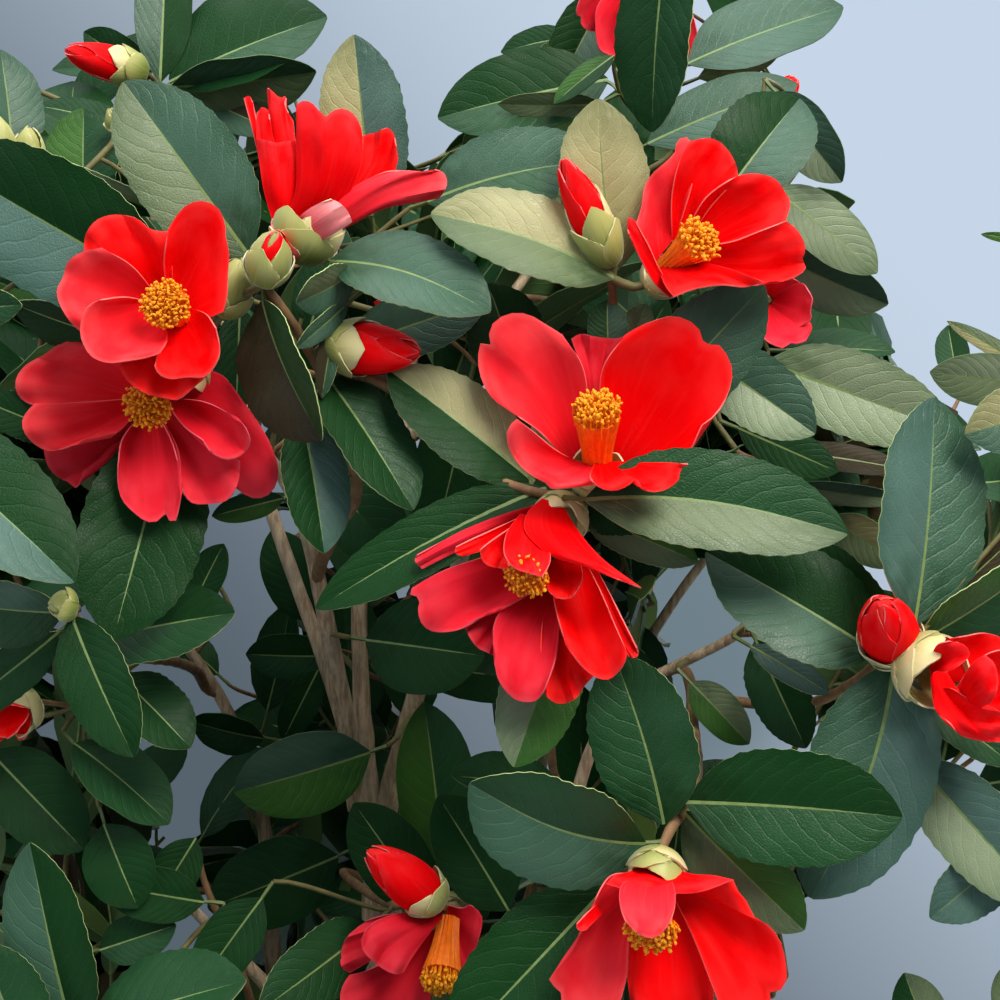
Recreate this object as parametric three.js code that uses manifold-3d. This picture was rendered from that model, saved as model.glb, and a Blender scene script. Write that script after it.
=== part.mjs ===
// A small camellia shrub in flower: a short trunk with a root flare, limbs that
// rise from a low fork, and a crown made of separate leafy masses round an open,
// bare-stemmed middle. Millimetres, +Z up, origin on the flat cut at ground level.
import * as THREE from "three";
import Module from "manifold-3d";
import { mergeVertices } from "three/addons/utils/BufferGeometryUtils.js";

const wasm = await Module();
wasm.setup();

// ---- driving dimensions -------------------------------------------------
const FORK_HEIGHT = 185; // the trunk divides here
const TRUNK_FOOT_R = 17; // radius just above the root flare
const TRUNK_FORK_R = 13.5;
const FLARE_R = 10; // how far the root flare stands out at the ground
const FLARE_HEIGHT = 34;
const FLARE_LOBES = 5;
const TRUNK_LEAN = [-4, -6]; // the fork stands this far off the foot, in x and y

const LIMB_SIDES = 8;
const LIMB_TIP_R = 3.2;
const LIMB_GAP = 0.35; // clearance of a limb to what it grows from
const MASS_GAP = 1.0; // clearance between neighbouring masses
const ENTRY_GAP = 0.45; // clearance of a limb's end to the mass it enters
const LOBE_DEPTH = 0.15; // unevenness of a mass, as a share of its radius
const MASS_DETAIL = 2;

// ---- the leafy masses: centre, half sizes, seed ---------------------------
// x is to the right, -y is the side seen first, z is up.
const MASSES = [
  ["foliage_left_front", [-90, -165, 882], [102, 92, 94], 1],
  ["foliage_centre_front", [85, -172, 845], [90, 86, 98], 2],
  ["foliage_right_front", [210, -150, 765], [86, 92, 106], 3],
  ["foliage_low_right_front", [112, -165, 655], [98, 90, 80], 4],
  ["foliage_low_left_front", [-128, -160, 672], [94, 92, 102], 5],
  ["foliage_top_left", [-94, -28, 955], [106, 94, 90], 6],
  ["foliage_top_right", [112, -26, 945], [106, 94, 96], 7],
  ["foliage_top_back", [5, 112, 940], [126, 90, 94], 8],
  ["foliage_side_left", [-205, 0, 790], [94, 114, 114], 9],
  ["foliage_side_right", [200, 42, 800], [90, 110, 104], 10],
  ["foliage_back_left", [-118, 180, 765], [110, 96, 112], 11],
  ["foliage_back_right", [112, 182, 765], [110, 94, 112], 12],
  ["foliage_waist_front", [-8, -185, 530], [108, 88, 84], 13],
  ["foliage_waist_left", [-190, 20, 565], [98, 122, 104], 14],
  ["foliage_waist_right", [190, 14, 560], [98, 124, 104], 15],
  ["foliage_waist_back", [0, 182, 548], [132, 94, 106], 16],
  ["foliage_skirt_left", [-138, -92, 388], [104, 112, 84], 17],
  ["foliage_skirt_right", [142, -92, 382], [102, 112, 84], 18],
  ["foliage_skirt_back", [6, 156, 376], [134, 98, 84], 19],
];

// ---- the limbs: what each grows from, its start radius, way points, and the
// mass it enters. The last way point lies inside that mass, and the limb is
// trimmed where it goes in. Any other mass it brushes is cut back round it.
const LIMBS = [
  ["stem_left", "trunk", 8.2, [[-10, -14, 166], [-20, -32, 300], [-12, -52, 520], [-10, -60, 640], [-22, -60, 700], [-56, -52, 800], [-80, -40, 900]], "foliage_top_left"],
  ["stem_centre", "trunk", 8.6, [[-2, -8, 166], [8, -8, 320], [2, -28, 560], [-14, -42, 700], [-8, -36, 790], [50, -32, 880], [88, -30, 930]], "foliage_top_right"],
  ["stem_side_left", "trunk", 7.6, [[-16, -8, 164], [-46, 2, 320], [-62, 8, 520], [-72, 8, 650], [-104, 0, 720], [-160, 0, 770]], "foliage_side_left"],
  ["stem_right", "trunk", 7.8, [[6, -12, 164], [36, -30, 320], [58, -48, 480], [74, -62, 600], [98, -72, 700], [150, -110, 745]], "foliage_right_front"],
  ["stem_back_left", "trunk", 7.2, [[-12, 2, 164], [-32, 34, 320], [-50, 62, 480], [-72, 100, 640], [-100, 150, 740]], "foliage_back_left"],
  ["stem_back_right", "trunk", 7.4, [[0, 2, 164], [30, 30, 320], [50, 58, 480], [72, 92, 630], [98, 150, 730]], "foliage_back_right"],
  ["bough_centre_front", "stem_centre", 5.2, [[-6, -36, 640], [16, -56, 720], [40, -84, 790], [66, -130, 835]], "foliage_centre_front"],
  ["bough_left_front", "stem_left", 5.0, [[-14, -58, 655], [-24, -72, 730], [-38, -92, 800], [-66, -130, 850]], "foliage_left_front"],
  ["bough_low_right", "stem_right", 5.0, [[66, -54, 540], [82, -80, 590], [98, -120, 630]], "foliage_low_right_front"],
  ["bough_low_left", "stem_left", 5.0, [[-14, -50, 480], [-44, -72, 560], [-84, -112, 630]], "foliage_low_left_front"],
  ["bough_side_right", "stem_back_right", 4.8, [[54, 66, 520], [92, 66, 640], [140, 58, 730], [176, 50, 780]], "foliage_side_right"],
  ["bough_top_back", "stem_centre", 5.0, [[-8, -36, 760], [4, 10, 830], [6, 66, 890], [6, 100, 930]], "foliage_top_back"],
  ["bough_waist_front", "stem_left", 4.8, [[-18, -44, 400], [-16, -84, 450], [-12, -130, 505]], "foliage_waist_front"],
  ["bough_waist_left", "stem_side_left", 4.8, [[-49, 4, 350], [-84, 8, 430], [-140, 16, 525]], "foliage_waist_left"],
  ["bough_waist_right", "stem_right", 4.8, [[44, -36, 380], [80, -22, 440], [140, 2, 520]], "foliage_waist_right"],
  ["bough_waist_back", "stem_back_left", 4.8, [[-40, 48, 400], [-28, 92, 450], [-10, 140, 515]], "foliage_waist_back"],
  ["bough_skirt_left", "trunk", 4.6, [[-8, -12, 122], [-48, -36, 205], [-86, -58, 290], [-112, -76, 355]], "foliage_skirt_left"],
  ["bough_skirt_right", "trunk", 4.6, [[4, -12, 118], [46, -38, 200], [86, -60, 284], [114, -76, 348]], "foliage_skirt_right"],
  ["bough_skirt_back", "trunk", 4.6, [[-2, 2, 120], [8, 46, 200], [10, 92, 280], [8, 126, 340]], "foliage_skirt_back"],
];

const COLOURS = {
  bark: { color: 0x8a7159, roughness: 0.85, metalness: 0 },
  foliage: { color: 0x1f4a2e, roughness: 0.42, metalness: 0 },
};

// ---- geometry helpers -----------------------------------------------------
// Merged vertices only, as a closed solid.
function solid(geometry) {
  geometry.deleteAttribute("normal");
  geometry.deleteAttribute("uv");
  const merged = mergeVertices(geometry, 1e-3);
  return new wasm.Manifold(
    new wasm.Mesh({
      numProp: 3,
      vertProperties: new Float32Array(merged.attributes.position.array),
      triVerts: new Uint32Array(merged.index.array),
    }),
  );
}

function largest(made) {
  return made.decompose().sort((a, b) => b.volume() - a.volume())[0];
}

function meshOf(name, made, look) {
  const m = made.getMesh();
  const xyz = new Float32Array(m.numVert * 3);
  for (let i = 0; i < m.numVert; i++)
    xyz.set(m.vertProperties.subarray(i * m.numProp, i * m.numProp + 3), i * 3);
  const g = new THREE.BufferGeometry();
  g.setAttribute("position", new THREE.BufferAttribute(xyz, 3));
  g.setIndex(new THREE.BufferAttribute(m.triVerts, 1));
  g.computeVertexNormals();
  const mesh = new THREE.Mesh(g, new THREE.MeshStandardMaterial(look));
  mesh.name = name;
  return mesh;
}

// A round closed bar bent along a curve: radiusAt(t, angle) gives its girth.
function limbGeometry(points, radiusAt, segments, sides) {
  const curve = new THREE.CatmullRomCurve3(
    points.map((p) => new THREE.Vector3(...p)),
    false,
    "centripetal",
  );
  const bar = new THREE.CylinderGeometry(1, 1, 1, sides, segments);
  const pos = bar.attributes.position;
  const side = new THREE.Vector3(),
    over = new THREE.Vector3();
  for (let i = 0; i < pos.count; i++) {
    const t = Math.min(1, Math.max(0, pos.getY(i) + 0.5));
    const at = curve.getPointAt(t);
    const along = curve.getTangentAt(t);
    side.set(0, 1, 0).cross(along).normalize();
    over.copy(side).cross(along).normalize();
    const x = pos.getX(i),
      z = pos.getZ(i);
    const reach = Math.hypot(x, z);
    const r = reach < 1e-6 ? 0 : radiusAt(t, Math.atan2(z, x));
    at.addScaledVector(side, reach < 1e-6 ? 0 : (x / reach) * r);
    at.addScaledVector(over, reach < 1e-6 ? 0 : (z / reach) * r);
    pos.setXYZ(i, at.x, at.y, at.z);
  }
  return bar;
}

function trunkSolid(extra) {
  const points = [
    [0, 0, 0],
    [0, 0, FORK_HEIGHT * 0.22],
    [TRUNK_LEAN[0] * 0.5, TRUNK_LEAN[1] * 0.5, FORK_HEIGHT * 0.62],
    [TRUNK_LEAN[0], TRUNK_LEAN[1], FORK_HEIGHT],
  ];
  const radiusAt = (t, angle) => {
    const h = t * FORK_HEIGHT;
    const taper = TRUNK_FOOT_R + (TRUNK_FORK_R - TRUNK_FOOT_R) * t;
    const flare = FLARE_R * Math.exp(-((h / FLARE_HEIGHT) ** 1.3));
    return taper + flare * (0.75 + 0.35 * Math.cos(FLARE_LOBES * angle)) + extra;
  };
  const g = limbGeometry(points, radiusAt, 9, 20);
  const p = g.attributes.position;
  for (let i = 0; i < p.count; i++) if (p.getZ(i) < 0.5) p.setZ(i, 0);
  return solid(g);
}

function limbSolid([, , r0, points], extra) {
  const radiusAt = (t) => LIMB_TIP_R + (r0 - LIMB_TIP_R) * (1 - t) ** 0.8 + extra;
  return solid(limbGeometry(points, radiusAt, points.length * 2, LIMB_SIDES));
}

// An uneven closed mass: a ball pushed in and out by a few slow waves.
function massSolid([, centre, half, seed], extra) {
  const ball = new THREE.IcosahedronGeometry(1, MASS_DETAIL);
  const pos = ball.attributes.position;
  const waves = [];
  let step = seed * 17;
  const random = () => {
    const s = Math.sin(++step * 127.1) * 43758.5453;
    return s - Math.floor(s);
  };
  for (let k = 0; k < 7; k++)
    waves.push({
      way: new THREE.Vector3(random() - 0.5, random() - 0.5, random() - 0.5).normalize(),
      pace: 2.6 + 4.2 * random(),
      phase: 6.28 * random(),
      depth: LOBE_DEPTH * (1 - k * 0.1),
    });
  const v = new THREE.Vector3();
  for (let i = 0; i < pos.count; i++) {
    v.fromBufferAttribute(pos, i).normalize();
    let r = 1;
    for (const w of waves) r += w.depth * 0.5 * Math.sin(w.pace * v.dot(w.way) + w.phase);
    pos.setXYZ(
      i,
      centre[0] + v.x * (half[0] * r + extra),
      centre[1] + v.y * (half[1] * r + extra),
      centre[2] + v.z * (half[2] * r + extra),
    );
  }
  return solid(ball);
}

// ---- assembly ---------------------------------------------------------------
const shrub = new THREE.Group();

const grown = {};
MASSES.forEach((mass, i) => {
  let made = massSolid(mass, 0);
  MASSES.slice(0, i).forEach((other) => {
    const apart = Math.hypot(...mass[1].map((c, k) => c - other[1][k]));
    if (apart < Math.max(...mass[2]) + Math.max(...other[2]) + 20)
      made = made.subtract(massSolid(other, MASS_GAP));
  });
  grown[mass[0]] = largest(made);
});

const limbNear = LIMBS.map((limb) => [limb, limbSolid(limb, LIMB_GAP)]);
const trunkNear = trunkSolid(LIMB_GAP);
const entered = Object.fromEntries(MASSES.map((m) => [m[0], massSolid(m, ENTRY_GAP)]));

shrub.add(meshOf("trunk", trunkSolid(0), COLOURS.bark));
LIMBS.forEach((limb, i) => {
  let made = limbSolid(limb, 0).subtract(trunkNear);
  limbNear.slice(0, i).forEach(([, near]) => {
    made = made.subtract(near);
  });
  made = largest(made.subtract(entered[limb[4]]));
  shrub.add(meshOf(limb[0], made, COLOURS.bark));
});
for (const [name] of MASSES) {
  let made = grown[name];
  for (const [limb] of limbNear)
    if (limb[4] !== name) {
      const room = limbSolid(limb, LIMB_GAP * 3);
      if (room.intersect(made).volume() > 0) made = made.subtract(room);
    }
  shrub.add(meshOf(name, largest(made), COLOURS.foliage));
}

export default shrub;
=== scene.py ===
import math

import bpy
import numpy as np
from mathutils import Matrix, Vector
from mathutils.bvhtree import BVHTree


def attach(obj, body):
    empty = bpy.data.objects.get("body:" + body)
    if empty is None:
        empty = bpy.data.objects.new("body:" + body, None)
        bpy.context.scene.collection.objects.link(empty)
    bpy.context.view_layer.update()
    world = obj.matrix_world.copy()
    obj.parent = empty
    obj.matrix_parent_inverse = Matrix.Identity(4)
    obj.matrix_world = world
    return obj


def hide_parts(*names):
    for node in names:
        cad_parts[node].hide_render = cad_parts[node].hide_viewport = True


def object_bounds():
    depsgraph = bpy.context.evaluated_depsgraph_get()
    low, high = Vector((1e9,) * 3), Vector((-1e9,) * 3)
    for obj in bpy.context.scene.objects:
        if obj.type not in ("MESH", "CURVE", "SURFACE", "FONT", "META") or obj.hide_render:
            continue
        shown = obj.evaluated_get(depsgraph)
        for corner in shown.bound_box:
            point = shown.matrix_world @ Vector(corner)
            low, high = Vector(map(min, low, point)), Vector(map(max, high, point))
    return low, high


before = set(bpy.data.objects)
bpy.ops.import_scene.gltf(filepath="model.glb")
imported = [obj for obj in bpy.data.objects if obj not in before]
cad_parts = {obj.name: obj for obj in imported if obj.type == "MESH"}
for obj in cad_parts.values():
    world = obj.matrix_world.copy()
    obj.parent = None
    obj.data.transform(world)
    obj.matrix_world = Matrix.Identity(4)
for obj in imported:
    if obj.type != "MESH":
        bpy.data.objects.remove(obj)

CAD_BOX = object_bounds()

# ---------------------------------------------------------------- camera
CAM = np.array([0.05, -0.80, 0.874])
DOWN = math.radians(6.0)
FWD = np.array([0.0, math.cos(DOWN), -math.sin(DOWN)])
RIGHT = np.array([1.0, 0.0, 0.0])
UP = np.array([0.0, math.sin(DOWN), math.cos(DOWN)])
SPAN = 0.6  # 36 mm sensor behind a 60 mm lens

scene = bpy.context.scene
cam_data = bpy.data.cameras.new("camera")
cam_data.lens, cam_data.sensor_width = 60.0, 36.0
cam_data.clip_start, cam_data.clip_end = 0.02, 60.0
cam = bpy.data.objects.new("camera", cam_data)
cam.location = CAM.tolist()
cam.rotation_euler = (math.radians(90) - DOWN, 0, 0)
scene.collection.objects.link(cam)
scene.camera = cam


def at(px, py, d):
    """The point at depth d metres in front of the camera that a 1000 x 1000 frame shows at px, py."""
    return CAM + FWD * d + RIGHT * ((px - 500) / 1000 * SPAN * d) + UP * ((500 - py) / 1000 * SPAN * d)


def seen_at(p):
    """px, py and depth of points (n, 3)."""
    q = np.atleast_2d(p) - CAM
    d = q @ FWD
    dd = np.where(np.abs(d) < 1e-6, 1e-6, d)
    return 500 + 1000 * (q @ RIGHT) / (SPAN * dd), 500 - 1000 * (q @ UP) / (SPAN * dd), d


# ---------------------------------------------------------------- small helpers
def unit(v):
    v = np.asarray(v, float)
    n = np.linalg.norm(v, axis=-1, keepdims=True)
    return v / np.where(n < 1e-12, 1, n)


def cross(a, b):
    return np.cross(a, b)


def turn(v, axis, angle):
    """v turned about a unit axis."""
    c, s = math.cos(angle), math.sin(angle)
    return v * c + cross(axis, v) * s + axis * (axis @ v) * (1 - c)


def any_across(a):
    """A unit vector at right angles to a."""
    h = np.array([0.0, 0, 1]) if abs(a[2]) < 0.9 else np.array([1.0, 0, 0])
    return unit(cross(a, h))


def lin(r, g, b):
    """Linear colour of an 8-bit screen colour."""
    return tuple((c / 255) / 12.92 if c <= 10 else ((c / 255 + 0.055) / 1.055) ** 2.4 for c in (r, g, b))


class Piece:
    """Gathers four-sided faces for one joined mesh, and starts a further mesh before it holds too many."""

    made = []
    MOST = 92_000  # faces, two triangles each

    def __init__(self, name, materials, slot, stands_for=(), mapped=True, sharp=50):
        self.name, self.materials, self.slot_name = name, materials, slot
        self.stands_for, self.mapped, self.sharp = stands_for, mapped, sharp
        self.part, self.total = 0, 0
        self.clear()
        Piece.made.append(self)

    def clear(self):
        self.v, self.f, self.m, self.uv, self.nv, self.nf = [], [], [], [], 0, 0

    def add(self, verts, quads, mats, uvs=None):
        if self.nf + len(quads) > self.MOST:
            self.flush()
        self.v.append(np.asarray(verts, np.float32))
        self.f.append(np.asarray(quads, np.int64) + self.nv)
        self.m.append(np.broadcast_to(np.asarray(mats, np.int32), (len(quads),)))
        if self.mapped:
            self.uv.append(np.asarray(uvs, np.float32).reshape(-1, 4, 2))
        self.nv += len(verts)
        self.nf += len(quads)

    def flush(self):
        if not self.nf:
            return
        self.part += 1
        name = self.name if self.part == 1 else f"{self.name}_{self.part}"
        co, faces = np.concatenate(self.v), np.concatenate(self.f)
        me = bpy.data.meshes.new(name)
        me.vertices.add(len(co))
        me.vertices.foreach_set("co", co.ravel())
        me.loops.add(faces.size)
        me.loops.foreach_set("vertex_index", faces.ravel().astype(np.int32))
        me.polygons.add(len(faces))
        me.polygons.foreach_set("loop_start", np.arange(0, faces.size, 4, dtype=np.int32))
        me.polygons.foreach_set("material_index", np.concatenate(self.m).astype(np.int32))
        me.update(calc_edges=True)
        if self.mapped:
            layer = me.uv_layers.new(name="OFBake")
            layer.uv.foreach_set("vector", np.concatenate(self.uv).ravel())
        for m in self.materials:
            me.materials.append(m)
        me.polygons.foreach_set("use_smooth", np.ones(len(faces), bool))
        me.set_sharp_from_angle(angle=math.radians(self.sharp))
        ob = bpy.data.objects.new(name, me)
        scene.collection.objects.link(ob)
        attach(ob, "root")
        if self.stands_for:
            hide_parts(*self.stands_for)
        self.total += self.nf
        print("piece", name, "faces", self.nf, flush=True)
        self.clear()


def sheet(piece, P, thick, across, along, mats=(0, 1, 2), box=(0.01, 0.47), under=(0.53, 0.99)):
    """A thin closed blade about the grid P (rows along, columns across): upper skin, under skin and rim.
    across and along are each column's and row's place from 0 to 1 on the skin's own map."""
    nv, nu = P.shape[:2]
    dv, du = np.gradient(P, axis=0), np.gradient(P, axis=1)
    n = unit(cross(du, dv))
    half = np.broadcast_to(np.asarray(thick, float) / 2, (nv, nu))[..., None] * n
    verts = np.concatenate([(P + half).reshape(-1, 3), (P - half).reshape(-1, 3)])
    k = np.arange(nv * nu).reshape(nv, nu)
    a, b, c, d = k[:-1, :-1].ravel(), k[:-1, 1:].ravel(), k[1:, 1:].ravel(), k[1:, :-1].ravel()
    low = nv * nu
    top = np.stack([a, b, c, d], 1)
    bottom = np.stack([d, c, b, a], 1) + low
    ring = np.concatenate([k[0, :], k[1:, -1], k[-1, -2::-1], k[-2:0:-1, 0]])
    nxt = np.roll(ring, -1)
    rim = np.stack([ring + low, nxt + low, nxt, ring], 1)
    u = np.broadcast_to(np.asarray(across, float)[None, :], (nv, nu)).ravel()
    v = 0.01 + 0.98 * np.broadcast_to(np.asarray(along, float)[:, None], (nv, nu)).ravel()
    ut, ub = box[0] + (box[1] - box[0]) * u, under[0] + (under[1] - under[0]) * u
    uv_top = np.stack([ut[top], v[top]], -1)
    uv_bot = np.stack([ub[bottom - low], v[bottom - low]], -1)
    vr = v[ring]
    vn = np.where(np.abs(v[nxt] - vr) < 0.004, vr + 0.006, v[nxt])
    uv_rim = np.stack([np.stack([np.full_like(vr, 0.488), vr], -1), np.stack([np.full_like(vr, 0.488), vn], -1),
                       np.stack([np.full_like(vr, 0.512), vn], -1), np.stack([np.full_like(vr, 0.512), vr], -1)], 1)
    piece.add(verts, np.concatenate([top, bottom, rim]),
              np.repeat(mats, [len(top), len(bottom), len(rim)]), np.concatenate([uv_top, uv_bot, uv_rim]))


def frames_along(pts):
    """Unit tangents and two turning-free side vectors along a path."""
    t = unit(np.gradient(pts, axis=0))
    side = np.empty_like(t)
    side[0] = any_across(t[0])
    for i in range(1, len(t)):
        s = side[i - 1] - t[i] * (side[i - 1] @ t[i])
        side[i] = unit(s)
    return t, side, cross(t, side)


def tube(piece, pts, radii, sides, mat=0, relief=None):
    """A closed tube through pts. relief(ring, angle) adds to the radius."""
    pts, n = np.asarray(pts, float), len(pts)
    t, e1, e2 = frames_along(pts)
    ang = np.arange(sides) / sides * 2 * math.pi
    r = np.broadcast_to(np.asarray(radii, float).reshape(-1, 1), (n, sides)).copy()
    if relief is not None:
        r += relief(np.arange(n)[:, None], ang[None, :])
    ring = e1[:, None, :] * np.cos(ang)[None, :, None] + e2[:, None, :] * np.sin(ang)[None, :, None]
    V = pts[:, None, :] + ring * r[..., None]
    k = np.arange(n * sides).reshape(n, sides)
    kn = np.roll(k, -1, axis=1)
    q = np.stack([k[:-1].ravel(), kn[:-1].ravel(), kn[1:].ravel(), k[1:].ravel()], 1)
    caps = []
    for j in range(sides // 2 - 1):
        caps.append([k[0, sides - j - 1], k[0, sides - j - 2], k[0, j + 1], k[0, j]])
        caps.append([k[-1, j], k[-1, j + 1], k[-1, sides - j - 2], k[-1, sides - j - 1]])
    quads = np.concatenate([q, np.array(caps)])
    uv = None
    if piece.mapped:
        along = np.concatenate([[0], np.cumsum(np.linalg.norm(np.diff(pts, axis=0), axis=1))])
        along = along / max(along[-1], 1e-9)
        i = np.arange(n - 1)[:, None] + np.zeros((1, sides), int)
        j = np.arange(sides)[None, :] + np.zeros((n - 1, 1), int)
        u0, u1 = 0.53 + 0.44 * j / sides, 0.53 + 0.44 * (j + 1) / sides
        v0, v1 = 0.02 + 0.96 * along[i], 0.02 + 0.96 * along[i + 1]
        uvq = np.stack([np.stack([u0, v0], -1), np.stack([u1, v0], -1), np.stack([u1, v1], -1), np.stack([u0, v1], -1)], 2).reshape(-1, 4, 2)
        uvc = np.tile(np.array([[0.98, 0.01], [0.99, 0.01], [0.99, 0.02], [0.98, 0.02]]), (len(caps), 1, 1))
        uv = np.concatenate([uvq, uvc])
    piece.add(V.reshape(-1, 3), quads, mat, uv)


def hermite(p0, t0, p1, t1, n):
    s = np.linspace(0, 1, n)[:, None]
    return (2 * s**3 - 3 * s**2 + 1) * p0 + (s**3 - 2 * s**2 + s) * t0 + (-2 * s**3 + 3 * s**2) * p1 + (s**3 - s**2) * t1


# ---------------------------------------------------------------- materials
def material(name, colour, rough, level=0.5, coat=0.0, coat_rough=0.3, sheen=0.0, sheen_rough=0.4):
    m = bpy.data.materials.new(name)
    m.use_nodes = True
    m.diffuse_color = (*colour, 1)
    nt = m.node_tree
    b = nt.nodes["Principled BSDF"]
    b.inputs["Base Color"].default_value = (*colour, 1)
    b.inputs["Roughness"].default_value = rough
    b.inputs["Specular IOR Level"].default_value = level
    b.inputs["Coat Weight"].default_value = coat
    b.inputs["Coat Roughness"].default_value = coat_rough
    b.inputs["Sheen Weight"].default_value = sheen
    b.inputs["Sheen Roughness"].default_value = sheen_rough
    return m, nt, b


def math_node(nt, op, a, b=None, c=None, clamp=False):
    n = nt.nodes.new("ShaderNodeMath")
    n.operation, n.use_clamp = op, clamp
    for i, x in enumerate((a, b, c)):
        if x is None:
            continue
        if isinstance(x, (int, float)):
            n.inputs[i].default_value = x
        else:
            nt.links.new(x, n.inputs[i])
    return n.outputs[0]


def ramp_range(nt, x, a, b, c, d, smooth=True):
    n = nt.nodes.new("ShaderNodeMapRange")
    n.interpolation_type = "SMOOTHSTEP" if smooth else "LINEAR"
    nt.links.new(x, n.inputs["Value"])
    for k, v in zip(("From Min", "From Max", "To Min", "To Max"), (a, b, c, d)):
        n.inputs[k].default_value = v
    return n.outputs["Result"]


def mix_colour(nt, fac, a, b):
    n = nt.nodes.new("ShaderNodeMix")
    n.data_type = "RGBA"
    if isinstance(fac, (int, float)):
        n.inputs["Factor"].default_value = fac
    else:
        nt.links.new(fac, n.inputs["Factor"])
    for sock, x in (("A", a), ("B", b)):
        s = [i for i in n.inputs if i.name == sock and i.type == "RGBA"][0]
        if isinstance(x, tuple):
            s.default_value = (*x, 1)
        else:
            nt.links.new(x, s)
    return [o for o in n.outputs if o.type == "RGBA"][0]


def join_xyz(nt, x, y, z=0.0):
    n = nt.nodes.new("ShaderNodeCombineXYZ")
    for i, v in enumerate((x, y, z)):
        if isinstance(v, (int, float)):
            n.inputs[i].default_value = v
        else:
            nt.links.new(v, n.inputs[i])
    return n.outputs[0]


def noise(nt, vector, scale, detail=3.0, rough=0.5):
    n = nt.nodes.new("ShaderNodeTexNoise")
    n.inputs["Scale"].default_value = scale
    n.inputs["Detail"].default_value = detail
    n.inputs["Roughness"].default_value = rough
    nt.links.new(vector, n.inputs["Vector"])
    return n.outputs["Fac"]


def bump(nt, b, height, strength, distance):
    n = nt.nodes.new("ShaderNodeBump")
    n.inputs["Strength"].default_value = strength
    n.inputs["Distance"].default_value = distance
    nt.links.new(height, n.inputs["Height"])
    nt.links.new(n.outputs["Normal"], b.inputs["Normal"])


def skin_place(nt, lo, hi):
    """Place on a blade's skin: across 0..1 and along 0..1."""
    uv = nt.nodes.new("ShaderNodeUVMap")
    uv.uv_map = "OFBake"
    s = nt.nodes.new("ShaderNodeSeparateXYZ")
    nt.links.new(uv.outputs["UV"], s.inputs[0])
    a = math_node(nt, "DIVIDE", math_node(nt, "SUBTRACT", s.outputs[0], lo), hi - lo)
    t = math_node(nt, "DIVIDE", math_node(nt, "SUBTRACT", s.outputs[1], 0.01), 0.98)
    return a, t


def scaled(c, k):
    return tuple(min(1.0, x * k) for x in c)


def leaf_veins(nt, a, t):
    """How far a place lies on a side vein (0..1) and on the fine net between them (0..1)."""
    lead = math_node(nt, "ADD", math_node(nt, "MULTIPLY", a, 0.17), math_node(nt, "MULTIPLY", math_node(nt, "MULTIPLY", a, a), 0.12))
    p = math_node(nt, "MULTIPLY", math_node(nt, "SUBTRACT", t, lead), 10.0)
    wob = noise(nt, join_xyz(nt, math_node(nt, "MULTIPLY", a, 2.0), math_node(nt, "MULTIPLY", t, 5.0)), 1.6, 2.0)
    p = math_node(nt, "ADD", p, math_node(nt, "MULTIPLY", wob, 0.55))
    pp = math_node(nt, "PINGPONG", p, 0.5)
    vein = ramp_range(nt, pp, 0.0, 0.10, 1.0, 0.0)
    vein = math_node(nt, "MULTIPLY", vein, ramp_range(nt, a, 0.80, 0.98, 1.0, 0.15))
    vor = nt.nodes.new("ShaderNodeTexVoronoi")
    vor.feature = "DISTANCE_TO_EDGE"
    vor.inputs["Scale"].default_value = 1.0
    nt.links.new(join_xyz(nt, math_node(nt, "MULTIPLY", a, 17.0), math_node(nt, "MULTIPLY", t, 62.0)), vor.inputs["Vector"])
    net = ramp_range(nt, vor.outputs["Distance"], 0.0, 0.16, 1.0, 0.0)
    return vein, net, pp


def leaf_top(name, colour, fade, rough=0.42, coat=0.07, level=0.34, vein_pale=1.45, veins=0.17, bumps=0.42):
    """Glossy upper side: sunken side veins, a fine net, and the class colour with brighter blotches, which for most
    classes is a painted sheen or reflection, fading to a greener tone at foot, tip and margin where the painted sheen
    gives way.
    """
    m, nt, b = material(name, colour, rough, level=level, coat=coat, coat_rough=0.24)
    a, t = skin_place(nt, 0.01, 0.47)
    vein, net, pp = leaf_veins(nt, a, t)
    blot = noise(nt, join_xyz(nt, math_node(nt, "MULTIPLY", a, 2.2), math_node(nt, "MULTIPLY", t, 5.5)), 1.3, 4.0)
    place = math_node(nt, "ADD", t, math_node(nt, "MULTIPLY", math_node(nt, "SUBTRACT", blot, 0.5), 0.5))
    ends = math_node(nt, "ADD", ramp_range(nt, place, 0.02, 0.38, 1.0, 0.0), ramp_range(nt, place, 0.62, 1.02, 0.0, 0.75), clamp=True)
    sides_f = ramp_range(nt, math_node(nt, "ADD", a, math_node(nt, "MULTIPLY", blot, 0.3)), 0.75, 1.2, 0.0, 0.6)
    green = math_node(nt, "MAXIMUM", ends, sides_f)
    ground = mix_colour(nt, math_node(nt, "MULTIPLY", green, 0.85), colour, fade)
    ground = mix_colour(nt, math_node(nt, "MULTIPLY", ramp_range(nt, blot, 0.40, 0.75, 0.0, 1.0), 0.25), ground, scaled(colour, 1.25))
    pale = tuple(min(1, c * vein_pale + 0.010) for c in colour)
    ground = mix_colour(nt, math_node(nt, "MULTIPLY", vein, veins), ground, pale)
    ground = mix_colour(nt, math_node(nt, "MULTIPLY", ramp_range(nt, a, 0.0, 0.07, 1.0, 0.0), 0.25), ground, pale)
    nt.links.new(ground, b.inputs["Base Color"])
    nt.links.new(ramp_range(nt, blot, 0.25, 0.75, rough - 0.06, rough + 0.10), b.inputs["Roughness"])
    h = math_node(nt, "MULTIPLY", vein, -0.70)
    h = math_node(nt, "ADD", h, math_node(nt, "MULTIPLY", net, -0.34))
    h = math_node(nt, "ADD", h, math_node(nt, "MULTIPLY", pp, 0.9))
    bump(nt, b, h, bumps, 0.0005)
    return m


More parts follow.
